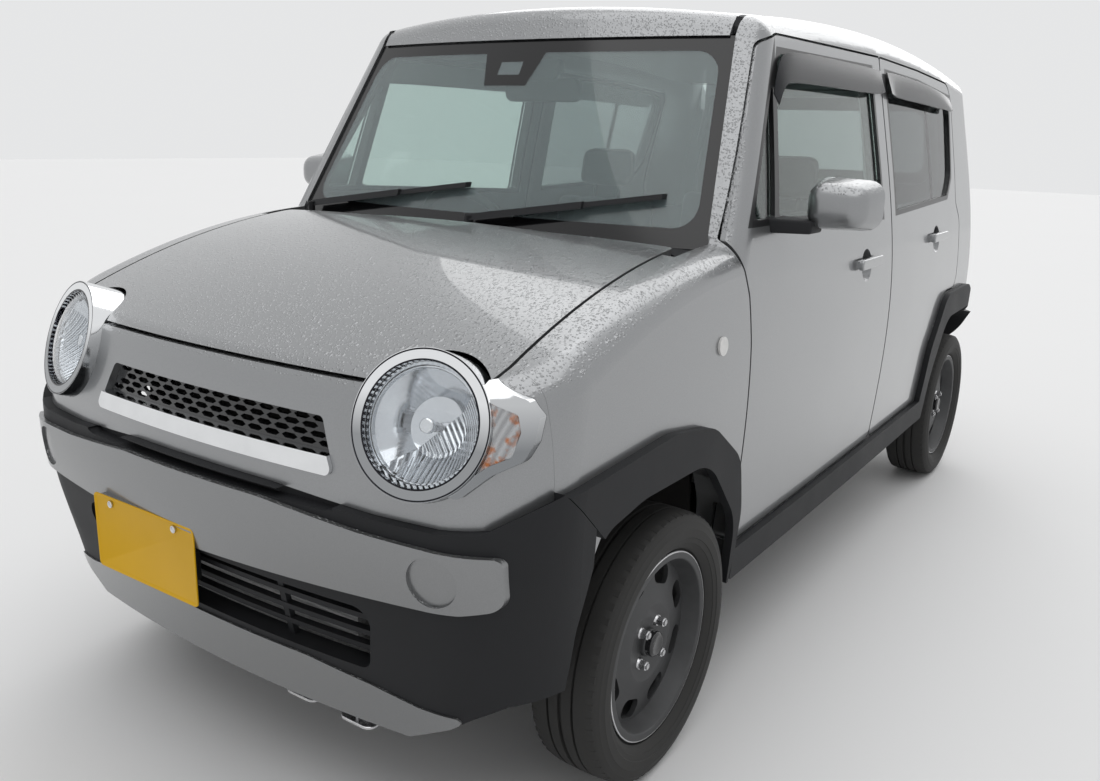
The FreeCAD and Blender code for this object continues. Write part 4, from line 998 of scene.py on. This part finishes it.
class KEI_OT_seats(bpy.types.Operator):
    """Padded seats, swollen by a cloth simulation from slightly smaller forms"""

    bl_idname = "kei.seats"
    bl_label = "Seats"

    def pad(self, name, profile, low, high, voxel, swell, seams):
        """One pad from four corners in the side view, between two stations across."""
        form = cube(name, (low, 0, 0), (high, 1, 1))
        for (y, z), (cy, cz) in zip(((0, 0), (0, 1), (1, 1), (1, 0)), profile):
            nudge(form, lambda co, normal: abs(co.y - y) < 1e-4 and abs(co.z - z) < 1e-4, (0, cy - y + 10, cz - z))
        choose(form, "VERT", lambda co, normal: True)
        bpy.ops.transform.translate(value=(0, -10, 0))
        bpy.ops.mesh.select_all(action="SELECT")
        bpy.ops.mesh.bevel(offset=0.035, segments=4)
        close()
        apply(form, "REMESH", mode="VOXEL", voxel_size=voxel)
        rest = [v.co.copy() for v in form.data.vertices]
        cloth = form.modifiers.new("cloth", "CLOTH")
        cloth.settings.use_pressure = True
        cloth.settings.uniform_pressure_force = 4.0
        cloth.settings.effector_weights.gravity = 0.0
        cloth.settings.tension_stiffness = cloth.settings.compression_stiffness = 12.0
        scene = bpy.context.scene
        for step in range(1, 21):
            scene.frame_set(step)
        only(form)
        bpy.ops.object.modifier_apply(modifier=cloth.name)
        scene.frame_set(1)
        for vertex, start in zip(form.data.vertices, rest):
            move = vertex.co - start
            if move.length > swell:
                vertex.co = start + move.normalized() * swell
        for vertex in form.data.vertices:
            depth = sum(SEAM_DEPTH * math.exp(-(seam(vertex.co) / SEAM_WIDTH) ** 2) for seam in seams)
            vertex.co -= vertex.normal * depth
        apply(form, "SUBSURF", levels=1, render_levels=1)
        put(form, "body", "seat_cloth", 60)
        return form

    def execute(self, context):
        front = [
            self.pad("front_cushion_left", ((-0.236, 0.314), (-0.236, 0.546), (0.200, 0.508), (0.200, 0.314)),
                     0.129, 0.546, 0.011, 0.012,
                     (lambda c: c.x - 0.225, lambda c: c.x - 0.450, lambda c: c.y + 0.120)),
            self.pad("front_back_left", ((0.206, 0.560), (0.312, 1.112), (0.388, 1.104), (0.318, 0.560)),
                     0.134, 0.536, 0.011, 0.012,
                     (lambda c: c.x - 0.235, lambda c: c.x - 0.435, lambda c: c.z - 0.900)),
            self.pad("headrest_left", ((0.312, 1.140), (0.340, 1.276), (0.398, 1.268), (0.390, 1.132)),
                     0.228, 0.442, 0.010, 0.010, (lambda c: c.y - 0.362,)),
        ]
        for pad in front:
            other = pad.copy()
            other.data = pad.data.copy()
            other.name = other.data.name = pad.name.replace("left", "right")
            context.scene.collection.objects.link(other)
            other.parent = None
            other.matrix_world = Matrix.Identity(4)
            for vertex in other.data.vertices:
                vertex.co.x = -vertex.co.x
            other.data.flip_normals()
            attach(other, "body")
        rails = []
        for side in (-1, 1):
            for x in (0.150, 0.486):
                low, high = sorted((side * x, side * (x + 0.036)))
                rail = cube("rail", (low, -0.200, 0.2575), (high, 0.210, 0.312))
                dish(rail, lambda middle, normal: normal.z > 0.9, (0.008, -0.006))
                rails.append(rail)
            for x in (0.285, 0.385):
                stem = rod("headrest_stem", (side * x, 0.350, 1.080), (side * x, 0.362, 1.160), 0.006, 14)
                rails.append(soften(stem, 0.001, 1))
        rails = joined("seat_rails", rails)
        put(rails, "body", "black_metal")
        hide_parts("front_seats")
        rear = [
            self.pad("rear_cushion", ((0.574, 0.290), (0.574, 0.556), (0.975, 0.528), (0.975, 0.290)),
                     -0.526, 0.526, 0.014, 0.012,
                     (lambda c: c.x, lambda c: abs(c.x) - 0.270, lambda c: c.y - 0.690)),
            self.pad("rear_back", ((0.955, 0.556), (1.066, 1.104), (1.138, 1.098), (1.082, 0.500)),
                     -0.402, 0.402, 0.013, 0.012,
                     (lambda c: c.x, lambda c: abs(c.x) - 0.220, lambda c: c.z - 0.880)),
        ]
        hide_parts("rear_seat")
        return {"FINISHED"}


class KEI_OT_rear_fittings(bpy.types.Operator):
    """Rear wiper, tailgate grip and high stop lamp, as this type of car has them"""

    bl_idname = "kei.rear_fittings"
    bl_label = "Tailgate fittings"

    def execute(self, context):
        hub = rod("rear_wiper_hub", (0.0, 1.640, 1.118), (0.0, 1.668, 1.118), 0.020, 28, 0.016)
        arm = cube("arm", (-0.012, 1.656, 1.112), (0.330, 1.668, 1.130))
        choose(arm, "VERT", lambda co, normal: co.x > 0.3)
        bpy.ops.transform.translate(value=(0, -0.004, 0.070))
        bpy.ops.transform.resize(value=(1, 0.7, 0.5), center_override=(0.33, 1.658, 1.191))
        close()
        blade = cube("blade", (0.040, 1.6455, 1.176), (0.345, 1.6560, 1.186))
        nudge(blade, lambda co, normal: co.x < 0.1, (0, 0.001, -0.030))
        wiper = joined("rear_wiper", [soften(hub, 0.002), soften(arm, 0.002), soften(blade, 0.001)])
        put(wiper, "tailgate", "black_plastic")
        grip = cube("tailgate_grip", (-0.250, 1.650, 0.955), (0.250, 1.668, 0.990))
        dish(grip, lambda middle, normal: normal.z < -0.9, (0.005, -0.008))
        put(soften(grip, 0.003), "tailgate", "black_plastic")
        stop = cube("stop_lamp", (-0.140, 1.592, 1.515), (0.140, 1.610, 1.532))
        dish(stop, lambda middle, normal: normal.y > 0.9, (0.003, -0.001))
        put(soften(stop, 0.002), "tailgate", "red_lens")
        return {"FINISHED"}


class KEI_OT_stage(bpy.types.Operator):
    """Lays the pale floor, hangs the soft lamps and sets the camera at the photograph's angle"""

    bl_idname = "kei.stage"
    bl_label = "Stage, lamps and camera"

    def execute(self, context):
        stage = context.scene.kei_stage
        bpy.ops.object.select_all(action="DESELECT")
        bpy.ops.mesh.primitive_plane_add(size=stage.floor_size, location=(0, 0, 0))
        floor = context.object
        floor.name = "floor"
        f = Finish("floor", roughness=0.9)
        patch = f.noise(0.6, 3.0)
        t = stage.floor_tone
        f.set("Base Color", f.mix(patch, (t, t, t), (t * 1.01, t * 1.01, t * 1.01)))
        floor.data.materials.append(f.material)
        world = bpy.data.worlds.new("studio")
        context.scene.world = world
        world.use_nodes = True
        back = world.node_tree.nodes["Background"]
        rays = world.node_tree.nodes.new("ShaderNodeLightPath")
        seen = Sock(world.node_tree, rays.outputs["Is Camera Ray"])
        seen = seen.most(Sock(world.node_tree, rays.outputs["Is Transmission Ray"]))
        seen = seen.most(Sock(world.node_tree, rays.outputs["Is Glossy Ray"]))
        back.inputs[0].default_value = (0.985, 0.992, 1.0, 1.0)
        world.node_tree.links.new((seen * (t - SKY_LIGHT) + SKY_LIGHT).out, back.inputs[1])
        for name, spot, power, spread in (
            ("sky_lamp", (0.3, -0.6, 5.0), 0.75, 70.0), ("back_sky_lamp", (-1.0, 5.0, 3.6), 0.75, 60.0),
        ):
            data = bpy.data.lights.new(name, "SUN")
            data.energy = stage.lamp_power * power
            data.angle = math.radians(spread)
            lamp = bpy.data.objects.new(name, data)
            context.scene.collection.objects.link(lamp)
            lamp.location = spot
            lamp.rotation_euler = (-Vector(spot)).to_track_quat("-Z", "Y").to_euler()
        data = bpy.data.cameras.new("camera")
        data.sensor_width, data.lens = 36.0, stage.lens
        data.sensor_fit = "HORIZONTAL"
        data.clip_end = 200.0
        camera = bpy.data.objects.new("camera", data)
        context.scene.collection.objects.link(camera)
        yaw, pitch, roll = (math.radians(v) for v in CAMERA_TURN)
        away = Vector((math.sin(yaw) * math.cos(pitch), -math.cos(yaw) * math.cos(pitch), math.sin(pitch)))
        right = (-away).cross(Vector((0, 0, 1))).normalized()
        up = right.cross(-away)
        r = math.cos(roll) * right + math.sin(roll) * up
        u = -math.sin(roll) * right + math.cos(roll) * up
        camera.matrix_world = Matrix((
            (r.x, u.x, away.x, CAMERA_PLACE[0]), (r.y, u.y, away.y, CAMERA_PLACE[1]),
            (r.z, u.z, away.z, CAMERA_PLACE[2]), (0, 0, 0, 1)))
        context.scene.camera = camera
        context.scene.view_settings.view_transform = "Standard"
        return {"FINISHED"}


class KEI_PT_panel(bpy.types.Panel):
    """Lists the pieces of the car's dressing"""

    bl_label = "Kei Car"
    bl_space_type = "VIEW_3D"
    bl_region_type = "UI"
    bl_category = "Kei Car"

    def draw(self, context):
        for step in STEPS:
            self.layout.operator(step.bl_idname)
        self.layout.prop(context.scene.kei_paint, "body")
        self.layout.prop(context.scene.kei_stage, "floor_tone")


STEPS = (KEI_OT_finishes, KEI_OT_plates, KEI_OT_wheel_fittings, KEI_OT_tyres, KEI_OT_lamps, KEI_OT_mirrors,
         KEI_OT_visors, KEI_OT_seats, KEI_OT_rear_fittings, KEI_OT_stage)
CLASSES = (PaintSettings, StageSettings, *STEPS, KEI_PT_panel)


def register():
    for c in CLASSES:
        bpy.utils.register_class(c)
    bpy.types.Scene.kei_paint = bpy.props.PointerProperty(type=PaintSettings)
    bpy.types.Scene.kei_stage = bpy.props.PointerProperty(type=StageSettings)


def unregister():
    del bpy.types.Scene.kei_paint, bpy.types.Scene.kei_stage
    for c in reversed(CLASSES):
        bpy.utils.unregister_class(c)


def main():
    register()
    for step in STEPS:
        group, name = step.bl_idname.split(".")
        getattr(getattr(bpy.ops, group), name)()


if __name__ == "__main__":
    main()
